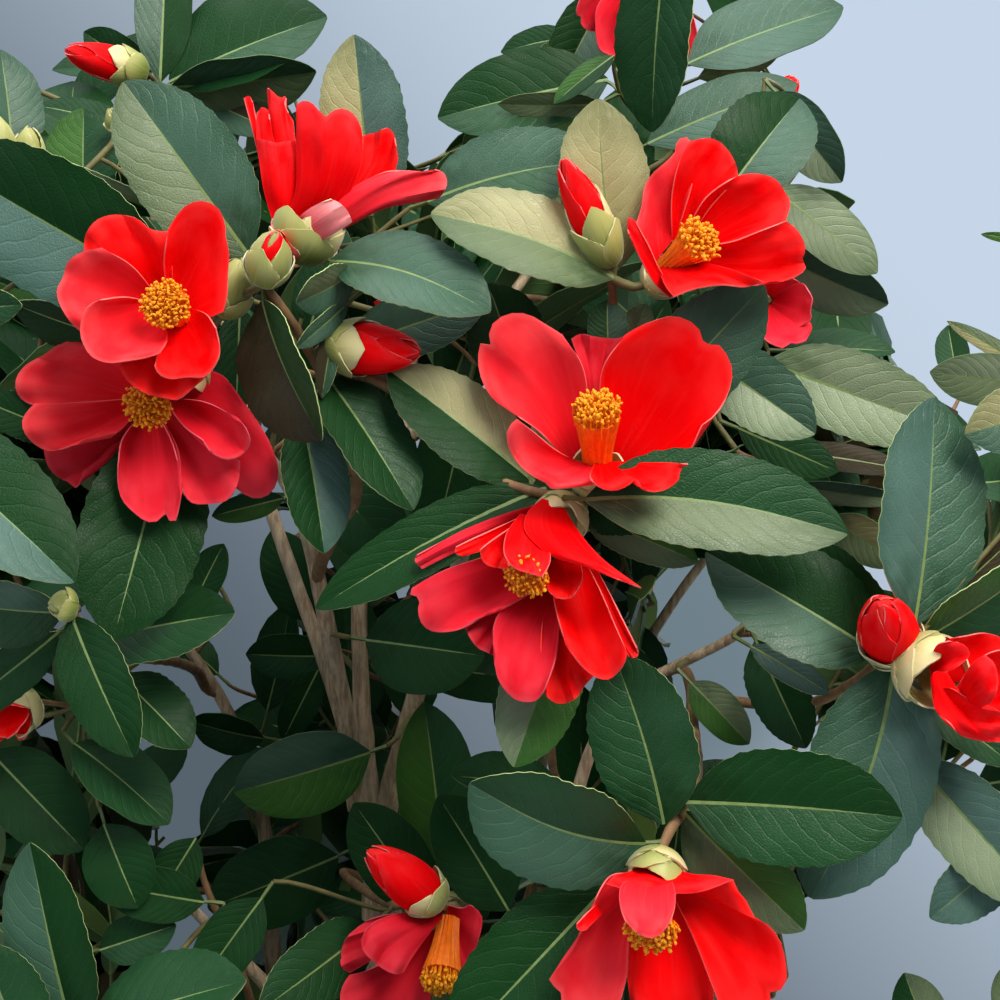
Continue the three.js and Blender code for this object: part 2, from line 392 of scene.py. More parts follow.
def leaf_under(name, colour):
    m, nt, b = material(name, colour, 0.58, level=0.35)
    a, t = skin_place(nt, 0.53, 0.99)
    vein, net, pp = leaf_veins(nt, a, t)
    ground = mix_colour(nt, math_node(nt, "MULTIPLY", vein, 0.35), colour, scaled(colour, 1.35))
    nt.links.new(ground, b.inputs["Base Color"])
    h = math_node(nt, "ADD", math_node(nt, "MULTIPLY", vein, 0.8), math_node(nt, "MULTIPLY", net, 0.2))
    bump(nt, b, h, 0.35, 0.0004)
    return m


def plain_skin(name, colour, rough, scale, spread=0.18, level=0.4, coat=0.0, sheen=0.0, bumps=0.25, depth=0.0003, stretch=(1, 1, 1)):
    """A finish whose grain follows the object's own space."""
    m, nt, b = material(name, colour, rough, level=level, coat=coat, sheen=sheen)
    tc = nt.nodes.new("ShaderNodeTexCoord")
    mp = nt.nodes.new("ShaderNodeMapping")
    mp.inputs["Scale"].default_value = stretch
    nt.links.new(tc.outputs["Object"], mp.inputs["Vector"])
    f = noise(nt, mp.outputs[0], scale, 4.0, 0.6)
    ground = mix_colour(nt, ramp_range(nt, f, 0.3, 0.7, 0.0, 1.0), scaled(colour, 1 - spread), scaled(colour, 1 + spread))
    nt.links.new(ground, b.inputs["Base Color"])
    bump(nt, b, f, bumps, depth)
    return m


def petal_skin(name, deep, main, rim, lo, hi, rough=0.55, sheen=0.0, glow=0.22):
    """Satin petal: deeper at its base, faint veins that fan to the rim, a paler bloom towards the edge, and a painted
    glow of light through the petal in soft patches towards its tip.
    """
    m, nt, b = material(name, main, rough, level=0.05, sheen=sheen, sheen_rough=0.5)
    a, t = skin_place(nt, lo, hi)
    off = math_node(nt, "ABSOLUTE", math_node(nt, "SUBTRACT", a, 0.5))
    edge = math_node(nt, "MAXIMUM", ramp_range(nt, t, 0.93, 1.0, 0.0, 1.0), ramp_range(nt, off, 0.455, 0.5, 0.0, 0.8))
    fan = noise(nt, join_xyz(nt, math_node(nt, "MULTIPLY", math_node(nt, "SUBTRACT", a, 0.5), 15.0), math_node(nt, "MULTIPLY", t, 1.3)), 1.0, 2.0)
    soft = noise(nt, join_xyz(nt, math_node(nt, "MULTIPLY", a, 2.6), math_node(nt, "MULTIPLY", t, 2.6)), 1.1, 3.0)
    ground = mix_colour(nt, ramp_range(nt, t, 0.05, 0.60, 0.0, 1.0), deep, main)
    ground = mix_colour(nt, math_node(nt, "MULTIPLY", ramp_range(nt, soft, 0.35, 0.75, 0.0, 1.0), 0.30), ground, scaled(main, 0.72))
    # painted glow: light shining through the petal, painted as a paler rim colour
    painted_glow = math_node(nt, "MULTIPLY", ramp_range(nt, soft, 0.62, 0.38, 0.0, 1.0), ramp_range(nt, t, 0.45, 0.95, 0.0, glow))
    ground = mix_colour(nt, painted_glow, ground, rim)
    ground = mix_colour(nt, math_node(nt, "MULTIPLY", edge, 0.34), ground, rim)
    ground = mix_colour(nt, math_node(nt, "MULTIPLY", ramp_range(nt, fan, 0.50, 0.72, 0.0, 1.0), 0.07), ground, rim)
    nt.links.new(ground, b.inputs["Base Color"])
    h = math_node(nt, "ADD", math_node(nt, "MULTIPLY", fan, 0.5), math_node(nt, "MULTIPLY", soft, 0.8))
    bump(nt, b, h, 0.22, 0.0006)
    return m


LEAF_COLOURS = {  # upper side, what it fades to, under side. Most classes paint light into the leaf: gold, olive and sage are a painted warm sheen, teal and blue a painted reflection of the cool sky, and deep is the darkest green, dealt out mostly where the shrub lies in shade as painted shade; mid, fresh and bronze are the leaves' own greens and brown
    "deep": (lin(18, 58, 23), lin(12, 48, 15), lin(66, 94, 50)),
    "mid": (lin(28, 70, 36), lin(16, 56, 22), lin(76, 106, 56)),
    "teal": (lin(58, 92, 72), lin(28, 66, 40), lin(86, 112, 68)),
    "blue": (lin(74, 106, 96), lin(42, 78, 60), lin(92, 116, 80)),
    "gold": (lin(162, 158, 112), lin(96, 108, 64), lin(108, 122, 72)),
    "olive": (lin(98, 114, 80), lin(50, 78, 42), lin(96, 114, 62)),
    "sage": (lin(134, 150, 118), lin(76, 104, 66), lin(104, 122, 74)),
    "fresh": (lin(54, 98, 32), lin(34, 74, 22), lin(100, 126, 54)),
    "bronze": (lin(56, 48, 30), lin(34, 34, 18), lin(80, 76, 46)),
}
# pale margin strip of the nearest leaves: a painted highlight where light catches the thick leaf margin
MARGIN_HIGHLIGHT = lin(176, 192, 128)

masses = sorted(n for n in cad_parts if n.startswith("foliage_"))
woods = sorted(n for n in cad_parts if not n.startswith("foliage_"))

margin_highlight_skin = plain_skin("leaf_rim_highlight", MARGIN_HIGHLIGHT, 0.5, 400.0, 0.10)
rib_skin = plain_skin("leaf_rib", lin(116, 138, 80), 0.5, 300.0, 0.15)
stalk_skin = plain_skin("leaf_stalk", lin(88, 104, 52), 0.5, 300.0, 0.2)
LEAVES = {}
for cls, (top_colour, fade_colour, low_colour) in LEAF_COLOURS.items():
    gloss = {"deep": 0.12, "bronze": 0.15, "mid": 0.22, "fresh": 0.22}.get(cls, 0.34)
    LEAVES[cls] = Piece("leaves_" + cls, [leaf_top("leaf_top_" + cls, top_colour, fade_colour, coat=0.07 if gloss > 0.3 else 0.035, level=gloss), leaf_under("leaf_under_" + cls, low_colour), margin_highlight_skin], "foliage")
RIBS = Piece("leaf_ribs", [rib_skin, rib_skin, rib_skin], "foliage", mapped=False)
STALKS = Piece("leaf_stalks", [stalk_skin], "foliage", mapped=False)

bark_skin, bt, bb = material("bark", lin(150, 126, 100), 0.78, level=0.25)
_tc = bt.nodes.new("ShaderNodeTexCoord")
_mp = bt.nodes.new("ShaderNodeMapping")
_mp.inputs["Scale"].default_value = (1.0, 1.0, 0.16)
bt.links.new(_tc.outputs["Object"], _mp.inputs["Vector"])
_streak = noise(bt, _mp.outputs[0], 420.0, 5.0, 0.62)
_cloud = noise(bt, _tc.outputs["Object"], 34.0, 3.0)
_fleck = noise(bt, _tc.outputs["Object"], 160.0, 2.0)
_ground = mix_colour(bt, ramp_range(bt, _streak, 0.32, 0.68, 0.0, 1.0), lin(156, 128, 100), lin(222, 196, 162))
_ground = mix_colour(bt, math_node(bt, "MULTIPLY", ramp_range(bt, _cloud, 0.42, 0.68, 0.0, 1.0), 0.5), _ground, lin(140, 134, 120))
_ground = mix_colour(bt, math_node(bt, "MULTIPLY", ramp_range(bt, _fleck, 0.66, 0.74, 0.0, 1.0), 0.6), _ground, lin(196, 184, 160))
bt.links.new(_ground, bb.inputs["Base Color"])
bump(bt, bb, math_node(bt, "ADD", _streak, math_node(bt, "MULTIPLY", _fleck, 0.5)), 0.6, 0.0012)
twig_skin = plain_skin("twig_bark", lin(128, 98, 68), 0.7, 220.0, 0.28, level=0.3, bumps=0.5, depth=0.0006, stretch=(1, 1, 0.3))
green_twig_skin = plain_skin("young_twig", lin(104, 98, 58), 0.6, 220.0, 0.2, level=0.35, bumps=0.3)
BARK = Piece("trunk_and_boughs", [bark_skin], "bark", woods, mapped=False, sharp=80)
TWIGS = Piece("twigs", [twig_skin, green_twig_skin], "bark", mapped=False, sharp=80)

# Petal reds: scarlet is the plain red; the rose copy is a paler red with painted highlight, for petals where the light
# falls; the crimson copy is a duller, darker red, painted shade for blooms and petals in shade, and also dealt at
# random to some filler blooms.
RED_DEEP, RED, RED_RIM = lin(212, 0, 2), lin(246, 0, 4), lin(255, 74, 72)
CRIM_DEEP, CRIM, CRIM_RIM = lin(168, 2, 12), lin(222, 28, 46), lin(240, 88, 100)
LIT_ROSE_DEEP, LIT_ROSE, LIT_ROSE_RIM = lin(206, 8, 20), lin(240, 34, 46), lin(255, 112, 112)
edge_skin = plain_skin("petal_edge", lin(250, 104, 100), 0.5, 300.0, 0.08)
edge_skin_c = plain_skin("petal_edge_crimson", lin(224, 84, 96), 0.5, 300.0, 0.08)
PETALS = {
    "scarlet": Piece("petals_scarlet", [petal_skin("petal_inner", RED_DEEP, RED, RED_RIM, 0.01, 0.47), petal_skin("petal_outer", lin(226, 0, 4), lin(250, 2, 8), lin(252, 76, 82), 0.53, 0.99), edge_skin], "petal"),
    "lit_rose": Piece("petals_rose", [petal_skin("petal_inner_rose", LIT_ROSE_DEEP, LIT_ROSE, LIT_ROSE_RIM, 0.01, 0.47), petal_skin("petal_outer_rose", lin(220, 14, 26), lin(240, 40, 54), lin(252, 112, 114), 0.53, 0.99), edge_skin], "petal"),
    "crimson": Piece("petals_crimson", [petal_skin("petal_inner_crimson", CRIM_DEEP, CRIM, CRIM_RIM, 0.01, 0.47), petal_skin("petal_outer_crimson", lin(186, 8, 20), lin(220, 30, 48), lin(238, 92, 104), 0.53, 0.99), edge_skin_c], "petal"),
}
column_skin = plain_skin("filament_column", lin(250, 116, 14), 0.5, 500.0, 0.16, bumps=0.4, stretch=(1, 1, 0.2))
filament_skin = plain_skin("filament", lin(252, 142, 14), 0.5, 500.0, 0.12)
anther_skin = plain_skin("anther", lin(252, 156, 8), 0.62, 900.0, 0.22, bumps=0.6, depth=0.0004)
STAMENS = Piece("stamen_filaments", [column_skin, filament_skin], "stamen", mapped=False)
ANTHERS = Piece("stamen_anthers", [anther_skin], "stamen", mapped=False, sharp=180)


def scale_skin(name, base, tip, lo, hi):
    m, nt, b = material(name, base, 0.45, level=0.4, sheen=0.35, sheen_rough=0.35)
    a, t = skin_place(nt, lo, hi)
    fibre = noise(nt, join_xyz(nt, math_node(nt, "MULTIPLY", a, 22.0), math_node(nt, "MULTIPLY", t, 2.0)), 1.0, 2.0)
    ground = mix_colour(nt, ramp_range(nt, t, 0.15, 0.95, 0.0, 1.0), base, tip)
    ground = mix_colour(nt, math_node(nt, "MULTIPLY", ramp_range(nt, fibre, 0.4, 0.7, 0.0, 1.0), 0.25), ground, scaled(tip, 1.1))
    nt.links.new(ground, b.inputs["Base Color"])
    bump(nt, b, fibre, 0.3, 0.0004)
    return m


scale_rim = plain_skin("bud_scale_rim", lin(206, 196, 150), 0.5, 300.0, 0.1)
SCALES = {
    "green": Piece("bud_scales", [scale_skin("bud_scale_green", lin(112, 128, 52), lin(176, 176, 104), 0.01, 0.47), scale_skin("bud_scale_inner", lin(150, 160, 90), lin(190, 186, 120), 0.53, 0.99), scale_rim], "bud_scale"),
    "cream": Piece("calyx_scales", [scale_skin("calyx_scale_pale", lin(170, 168, 86), lin(222, 206, 150), 0.01, 0.47), scale_skin("calyx_scale_inner", lin(190, 184, 120), lin(214, 200, 150), 0.53, 0.99), scale_rim], "bud_scale"),
    "pink": Piece("calyx_scales_pink", [scale_skin("calyx_scale_pink", lin(206, 40, 60), lin(226, 120, 124), 0.01, 0.47), scale_skin("calyx_scale_pink_inner", lin(206, 36, 56), lin(228, 132, 132), 0.53, 0.99), scale_rim], "bud_scale"),
}

# ---------------------------------------------------------------- the leaf
_t0 = np.array([0, .03, .08, .15, .25, .35, .45, .55, .65, .75, .83, .90, .95, .985, 1.0])
_w0 = np.array([.05, .19, .43, .68, .89, .975, 1.0, .99, .945, .845, .705, .505, .315, .150, .04])
_ts = np.linspace(0, 1, 241)
_ws = np.interp(_ts, _t0, _w0)
_k = np.hanning(15); _k /= _k.sum()
_ws2 = np.convolve(np.pad(_ws, 7, mode="edge"), _k, mode="valid")
_ws = np.where((_ts > 0.02) & (_ts < 0.985), _ws2, _ws)


def outline(t):
    return np.interp(t, _ts, _ws)


LOD = {3: (34, 5, 3, 6), 2: (16, 4, 2, 4), 1: (9, 3, 2, 4), 0: (6, 2, 2, 4)}  # rows, columns a half, columns on the rib, sides of the stalk
leaf_count = 0


def leaf_surface(base, tip, n, w_right, w_left, rows, fold, arch, bend, twist, wave, shape, rng, curl):
    """Place along, centre line, tangent, normal and side vectors, the outline's width and the length of a leaf that
    runs from base to tip.
    """
    L = np.linalg.norm(tip - base)
    a = (tip - base) / L
    n = unit(n - a * (n @ a))
    s = cross(a, n)
    q = np.linspace(0, 1, rows)
    t = q - 0.055 * np.sin(2 * math.pi * q)
    hump = np.sin(math.pi * t ** 0.9)
    droop = -0.05 * np.clip((t - 0.82) / 0.18, 0, 1) ** 2 + 0.05 * t ** 6
    c = base + a * (L * t)[:, None] + n * (L * (arch * hump))[:, None] + s * (L * bend * hump)[:, None] + n * (L * droop * 0)[:, None]
    T = unit(np.gradient(c, axis=0))
    nn = unit(n[None] - T * (T @ n)[:, None])
    ang = twist * (t - 0.45)
    ss = cross(T, nn)
    ca, sa = np.cos(ang)[:, None], np.sin(ang)[:, None]
    nn, ss = nn * ca + ss * sa, ss * ca - nn * sa
    w = outline(np.clip(t, 0, 1) ** shape)
    return t, c, T, nn, ss, w, L


def add_leaf(base, tip, n, w_right, w_left, start=None, cls="mid", cls2=None, lod=1, fold=0.32, arch=0.03, bend=0.0,
             twist=0.0, wave=0.02, curl=0.0, shape=1.0, rng=None, stalk_dir=None, teeth=True):
    """One leaf: two closed half blades, a midrib and its stalk. Widths are half-widths in metres along the blade."""
    global leaf_count
    leaf_count += 1
    rows, cols, ribcols, sides = LOD[lod]
    rng = rng or np.random.default_rng(leaf_count)
    base, tip = np.asarray(base, float), np.asarray(tip, float)
    t, c, T, N, S, w, L = leaf_surface(base, tip, n, w_right, w_left, rows, fold, arch, bend, twist, wave, shape, rng, curl)
    ph = rng.uniform(0, 6.28, 4)
    mats = (0, 1, 2) if lod == 3 else (0, 1, 1)
    for side, wid, which in ((1, w_right, cls), (-1, w_left, cls2 or cls)):
        hw = wid * w
        if lod == 3 and teeth:
            saw = 0.016 * np.where(np.arange(rows) % 2 == 0, 1, -1) * np.where((t > 0.16) & (t < 0.94), 1, 0)
            hw = hw * (1 + saw)
        u = np.linspace(0, 1, cols) ** 0.9
        x = hw[:, None] * u[None, :]
        lift = fold * x * (1 - 0.42 * u[None, :]) - curl * wid * u[None, :] ** 2.5 * w[:, None]
        freq = 2.6 + rng.uniform(-0.5, 0.5)
        lift = lift + wave * wid * np.sin(2 * math.pi * freq * t + ph[0] + side)[:, None] * u[None, :] ** 2 * np.minimum(1, w)[:, None]
        if lod >= 2:
            p = 10 * (t[:, None] - 0.17 * u[None, :] - 0.12 * u[None, :] ** 2)
            lift = lift - 0.00016 * np.cos(2 * math.pi * p) * np.sin(math.pi * np.clip(u, 0.02, 0.98))[None, :] * (w[:, None] > 0.25)
        flat = np.sqrt(np.maximum(x**2 - np.minimum(np.abs(lift), 0.7 * x) ** 2, 0))
        P = c[:, None, :] + S[:, None, :] * (side * flat)[..., None] + N[:, None, :] * lift[..., None]
        if side > 0:
            sheet(LEAVES[which], P, 0.00042, u, t, mats)
        else:
            sheet(LEAVES[which], P[:, ::-1], 0.00042, u[::-1], t, mats)
    m = np.minimum(0.00050 * (L / 0.075) * (1 - t) + 0.00016, 0.7 * w_left * w + 0.00005)
    m = np.maximum(m, 0.00009)
    keep = [0, 2, 4, 7] if lod == 1 else slice(0, rows - 1)
    off = np.linspace(-1, 1, ribcols)
    thick = 0.00115 * (1 - t) + 0.0006
    R = c[:, None, :] + S[:, None, :] * (m[:, None] * off[None, :])[..., None] - N[:, None, :] * (0.00010 + 0.28 * (thick - 0.0006))[:, None, None]
    if lod:
        sheet_plain(RIBS, R[keep], thick[keep][:, None])
    # the stalk, from the twig into the foot of the blade
    if start is not None:
        start = np.asarray(start, float)
        gap = np.linalg.norm(base - start)
        out = stalk_dir if stalk_dir is not None else unit(base - start + 1e-9)
        path = hermite(start, out * gap, base + T[0] * 0.003 - N[0] * 0.0003, T[0] * gap, 5 if lod > 1 else 4)
        tube(STALKS, path, np.linspace(0.00105, 0.00075, len(path)) * (0.85 + 0.15 * L / 0.075), 6 if sides > 5 else 4)
    return c, S, N, w


def sheet_plain(piece, P, thick):
    nv, nu = P.shape[:2]
    du, dv = np.gradient(P, axis=1), np.gradient(P, axis=0)
    n = unit(cross(du, dv))
    half = n * (np.broadcast_to(thick, (nv, nu)) / 2)[..., None]
    verts = np.concatenate([(P + half).reshape(-1, 3), (P - half).reshape(-1, 3)])
    k = np.arange(nv * nu).reshape(nv, nu)
    a, b, c, d = k[:-1, :-1].ravel(), k[:-1, 1:].ravel(), k[1:, 1:].ravel(), k[1:, :-1].ravel()
    low = nv * nu
    ring = np.concatenate([k[0, :], k[1:, -1], k[-1, -2::-1], k[-2:0:-1, 0]])
    nxt = np.roll(ring, -1)
    quads = np.concatenate([np.stack([a, b, c, d], 1), np.stack([d, c, b, a], 1) + low, np.stack([ring + low, nxt + low, nxt, ring], 1)])
    piece.add(verts, quads, 0)


# ---------------------------------------------------------------- petals, stamens, scales, buds
_pt = np.array([0, .12, .25, .4, .55, .7, .82, .92, 1.0])
_pw = np.array([.26, .38, .54, .73, .89, .99, 1.0, .95, .84])


def petal(piece, base, axis, tip, width, cup=0.55, back=0.5, ripple=0.05, notch=0.10, grid=(18, 15), rng=None, thick=0.0005,
          inner=None, roundness=0.24, lean=0.0):
    """A petal from base to the middle of its tip. axis is the way the flower faces; back is how much it bends out over its length
    in radians, and cup the half-angle of its hollow. inner overrides the way its inner side faces."""
    rng = rng or np.random.default_rng(1)
    base, tip, axis = np.asarray(base, float), np.asarray(tip, float), unit(axis)
    d = tip - base
    L = np.linalg.norm(d)
    dn = d / L
    out = d - axis * (d @ axis)
    out = unit(out) if np.linalg.norm(out) > 0.05 * L else any_across(axis)
    psi = math.atan2(max(d @ out, 1e-6), d @ axis)
    n = axis * math.sin(psi) - out * math.cos(psi)
    if inner is not None:
        n = np.asarray(inner, float)
    n = unit(n - dn * (n @ dn))
    s = cross(dn, n)
    # centre line: a shallow arc that starts nearer the axis and ends bent outwards
    nv, nu = grid
    t = np.linspace(0, 1, nv)
    u = np.linspace(-1, 1, nu)
    k1 = rng.uniform(0, 6.28, 6)
    te = t[:, None] * (1 - roundness * np.abs(u[None, :]) ** 2.6 - notch * np.exp(-((u[None, :] - 0.08 * math.sin(k1[5])) / 0.13) ** 2)
                       + 0.016 * np.sin(6.5 * u[None, :] + k1[0]) * t[:, None] ** 3 + 0.010 * np.sin(13 * u[None, :] + k1[3]) * t[:, None] ** 3)
    ctrl = base + dn * (0.5 * L) - n * (L * 0.5 * math.tan(min(back, 1.2)) * 0.5)
    b = ((1 - te) ** 2)[..., None] * base + (2 * te * (1 - te))[..., None] * ctrl + (te**2)[..., None] * tip
    tan = unit((2 * (1 - te))[..., None] * (ctrl - base) + (2 * te)[..., None] * (tip - ctrl))
    nn = unit(n - tan * (tan @ n)[..., None])
    ss = cross(tan, nn)
    w = np.interp(t, _pt, _pw)[:, None] * width / 2
    th = cup * (1 - 0.45 * te)
    x = np.where(th > 1e-3, np.sin(th * u[None, :]) / np.maximum(th, 1e-3), u[None, :]) * w
    z = np.where(th > 1e-3, (1 - np.cos(th * u[None, :])) / np.maximum(th, 1e-3), 0) * w
    z = z + ripple * width * te**2 * (np.sin(3.4 * u[None, :] + k1[1] + 2.2 * te) * 0.7 + 0.45 * np.sin(7.3 * u[None, :] + k1[2] + 3 * te)) * (0.35 + 0.65 * np.abs(u[None, :]))
    z = z + lean * width * u[None, :] * te
    crease = -0.03 * width * np.exp(-(u[None, :] / 0.12) ** 2) * np.sin(math.pi * te)
    z = z + crease
    P = b + ss * x[..., None] + nn * z[..., None]
    sheet(piece, P, thick, (u + 1) / 2, t)
    return P


def _round_block():
    """A cube with each face cut in four, rounded: 26 points and 24 faces."""
    idx, pts, quads = {}, [], []

    def point(p):
        key = tuple(p)
        if key not in idx:
            idx[key] = len(pts)
            pts.append(p)
        return idx[key]

    for ax in range(3):
        for sg in (-1, 1):
            for i in (-1, 0):
                for j in (-1, 0):
                    q = []
                    for du, dv in ((0, 0), (1, 0), (1, 1), (0, 1)):
                        p = [0, 0, 0]
                        p[ax], p[(ax + 1) % 3], p[(ax + 2) % 3] = sg, i + du, j + dv
                        q.append(point(p))
                    quads.append(q if sg > 0 else q[::-1])
    return unit(np.array(pts, float)), np.array(quads)


BEAD_V, BEAD_F = _round_block()
BOX_V = unit(np.array([(x, y, z) for x in (-1, 1) for y in (-1, 1) for z in (-1, 1)], float))
BOX_F = np.array([(0, 1, 3, 2), (4, 6, 7, 5), (0, 4, 5, 1), (2, 3, 7, 6), (0, 2, 6, 4), (1, 5, 7, 3)])


def anther(p, d, size, rng, fine=True):
    """A two-lobed pollen sac."""
    a = unit(d + rng.normal(0, 0.35, 3))
    b = any_across(a)
    b = turn(b, a, rng.uniform(0, 6.28))
    c = cross(a, b)
    v = BEAD_V if fine else BOX_V * 1.2
    pinch = 1 - 0.22 * np.exp(-(v[:, 1] / 0.35) ** 2)
    V = p + size * (a * (v[:, :1] * 0.95) + b * (v[:, 1:2] * 0.74) + c * (v[:, 2:3] * 0.50 * pinch[:, None]))
    ANTHERS.add(V, BEAD_F if fine else BOX_F, 0)


def stamens(base, axis, height, radius, count, spread=0.55, size=0.00105, rng=None, column=0.62, flare=1.0):
    """A column of joined filaments that opens into a tuft of anthers."""
    axis = unit(axis)
    e1 = any_across(axis)
    e2 = cross(axis, e1)
    hcol = height * min(column + 0.16, 0.92)
    k = rng.uniform(0, 6.28, 3)
    zs = np.linspace(-0.02, 1, 10)
    rr = radius * (0.58 + 0.20 * zs + (0.22 * flare + spread * 0.5) * np.clip(zs, 0, 1) ** 2.2)
    pts = base + axis * (zs * hcol)[:, None]
    fine = count > 60
    tube(STAMENS, pts if fine else pts[::3], rr if fine else rr[::3], 40 if fine else 14, 0, relief=lambda i, a: radius * 0.045 * np.sin(20 * a + k[0]) + radius * 0.02 * np.sin(7 * a + k[1]))
    top = radius * (1.0 + spread)
    for i in range(count):
        f = (i + 0.5) / count
        ring = math.sqrt(f)
        phi = i * 2.39996 + rng.uniform(-0.25, 0.25)
        o = e1 * math.cos(phi) + e2 * math.sin(phi)
        h = height * (1.0 + rng.uniform(-0.07, 0.06) - 0.10 * ring**3)
        r1 = top * ring * rng.uniform(0.93, 1.05)
        foot = base + axis * hcol * rng.uniform(0.80, 0.96) + o * min(r1 * 0.85, rr[-1] * 0.93)
        head = base + axis * h + o * r1
        mid = (foot + head) / 2 + o * (radius * 0.05) + rng.normal(0, radius * 0.03, 3)
        if fine:
            tube(STAMENS, np.stack([foot, mid, head]), np.array([0.00030, 0.00026, 0.00022]), 4, 1)
        else:
            tube(STAMENS, np.stack([foot, head]), np.array([0.00030, 0.00022]), 4, 1)
        anther(head, unit(axis + o * 0.6 * ring), size * rng.uniform(0.85, 1.15), rng, fine)


def scale(piece, base, axis, phi, length, width, spread, tilt, rng, grid=(8, 7), thick=0.0006, lift=0.0):
    """A bract that hugs the foot of a bud or bloom."""
    axis = unit(axis)
    e1 = any_across(axis)
    e2 = cross(axis, e1)
    o = e1 * math.cos(phi) + e2 * math.sin(phi)
    tip = base + axis * (length * math.cos(tilt)) + o * (spread + length * math.sin(tilt))
    foot = base + o * (spread * 0.35) - axis * 0.001
    petal(piece, foot, axis, tip, width, cup=0.95, back=-0.45, ripple=0.01, notch=-0.05, grid=grid, rng=rng, thick=thick, inner=-o * 1.0 + axis * 0.25, roundness=0.42)


def ovoid(s, length, radius, point):
    """Height and radius of a bud's body at s from 0 to 1."""
    r = radius * np.sin(math.pi * np.clip(s, 0, 1) ** 0.78) ** point
    return length * s, r


def wrap(piece, base, axis, phi, s0, s1, dphi, length, radius, off, rng, grid=(9, 9), thick=0.0005, point=0.7, swirl=0.0, notch=-0.06, face_out=False):
    """A scale or petal that lies on a bud's body."""
    axis = unit(axis)
    e1 = any_across(axis)
    e2 = cross(axis, e1)
    nv, nu = grid
    t, u = np.linspace(0, 1, nv), np.linspace(-1, 1, nu)
    te = t[:, None] * (1 - 0.30 * np.abs(u[None, :]) ** 2.4 - notch * np.exp(-(u[None, :] / 0.25) ** 2))
    s = np.clip(s0 + (s1 - s0) * te, 0.0, 0.995)
    z, r = ovoid(s, length, radius, point)
    wv = np.interp(t, [0, 0.3, 0.6, 0.85, 1.0], [0.78, 1.0, 1.0, 0.90, 0.70])[:, None]
    ang = phi + u[None, :] * dphi * wv + swirl * te
    r = np.maximum(r, 0.0002) + off * (0.85 + 0.3 * te) + 0.0002 * np.sin(5 * u[None, :] + phi * 3) * te
    P = base + axis * z[..., None] + (e1 * np.cos(ang)[..., None] + e2 * np.sin(ang)[..., None]) * r[..., None]
    du, dv = P[nv // 2, nu // 2 + 1] - P[nv // 2, nu // 2 - 1], P[nv // 2 + 1, nu // 2] - P[nv // 2 - 1, nu // 2]
    o = e1 * math.cos(phi) + e2 * math.sin(phi)
    if (cross(du, dv) @ o < 0) != face_out:
        P = P[:, ::-1]
    sheet(piece, P, thick, (u + 1) / 2, t, mats=(0, 1, 2))


def body(piece, base, axis, s0, s1, length, radius, mat=0, point=0.7, sides=12, rows=8):
    s = np.linspace(s0, s1, rows)
    z, r = ovoid(s, length, radius, point)
    axis = unit(axis)
    tube(piece, base + axis * z[:, None], np.maximum(r, 0.0004), sides, mat)


def bud(base, axis, length, radius, kind, rng, fine=True, reach=0.52):
    """green: closed and scaled; tip: a red tip shows; red: a red bud in its scales."""
    axis = unit(axis)
    g = (10, 11) if fine else (6, 5)
    turn0 = rng.uniform(0, 6.28)
    if kind == "red":
        body(PETALS["scarlet"], base, axis, 0.10, 0.985, length, radius * 0.88, 0, 0.62, 16, 10)
        for i in range(5):
            wrap(PETALS["scarlet"], base, axis, turn0 + i * 2.4, 0.14, 0.99 - 0.02 * i, 1.35, length, radius * 0.90, 0.0003 + 0.00022 * i, rng, (14, 13) if fine else g, point=0.62, swirl=0.5, notch=-0.04, face_out=True)
        for i in range(6):
            wrap(SCALES["cream" if i < 2 else "green"], base, axis, turn0 + 0.5 + i * 2.4, -0.01, reach * (1 - 0.09 * i), 1.36, length, radius * 0.96, 0.0012 + 0.00024 * i, rng, g, point=0.62, notch=-0.10)
    else:
        body(SCALES["green"], base, axis, 0.03, 0.97, length, radius * 0.88, 0, 0.62, 14, 9)
        if kind == "tip":
            for i in range(3):
                wrap(PETALS["scarlet"], base, axis, turn0 + i * 2.1, 0.45, 0.985, 1.2, length, radius * 0.92, 0.0002 + 0.0002 * i, rng, g, point=0.62, notch=-0.04, face_out=True)
        tops = [0.985, 0.95, 0.88, 0.76, 0.60, 0.42] if kind == "green" else [0.90, 0.86, 0.80, 0.70, 0.54, 0.36]
        for i, s1 in enumerate(tops):
            wrap(SCALES["green"], base, axis, turn0 + i * 2.4, 0.0, s1, 1.30, length, radius * 0.95, (0.0007 if kind == "tip" else 0.0002) + 0.00024 * i, rng, g, point=0.62, notch=-0.10)


def calyx(base, axis, rng, size=1.0, kinds=("green", "cream"), fine=True, count=7):
    g = (11, 13) if fine else (6, 5)
    turn0 = rng.uniform(0, 6.28)
    a = unit(axis)
    for i in range(count):
        wrap(SCALES[kinds[i % len(kinds)]], base - a * 0.003 * size, a, turn0 + i * 2.4, 0.0, 0.62 - 0.050 * i, 1.42,
             0.023 * size, 0.0078 * size, 0.0010 - 0.00003 * i + 0.00026 * (count - i) * 0 + 0.00022 * i, rng, g, thick=0.0007, point=0.6, notch=-0.10)


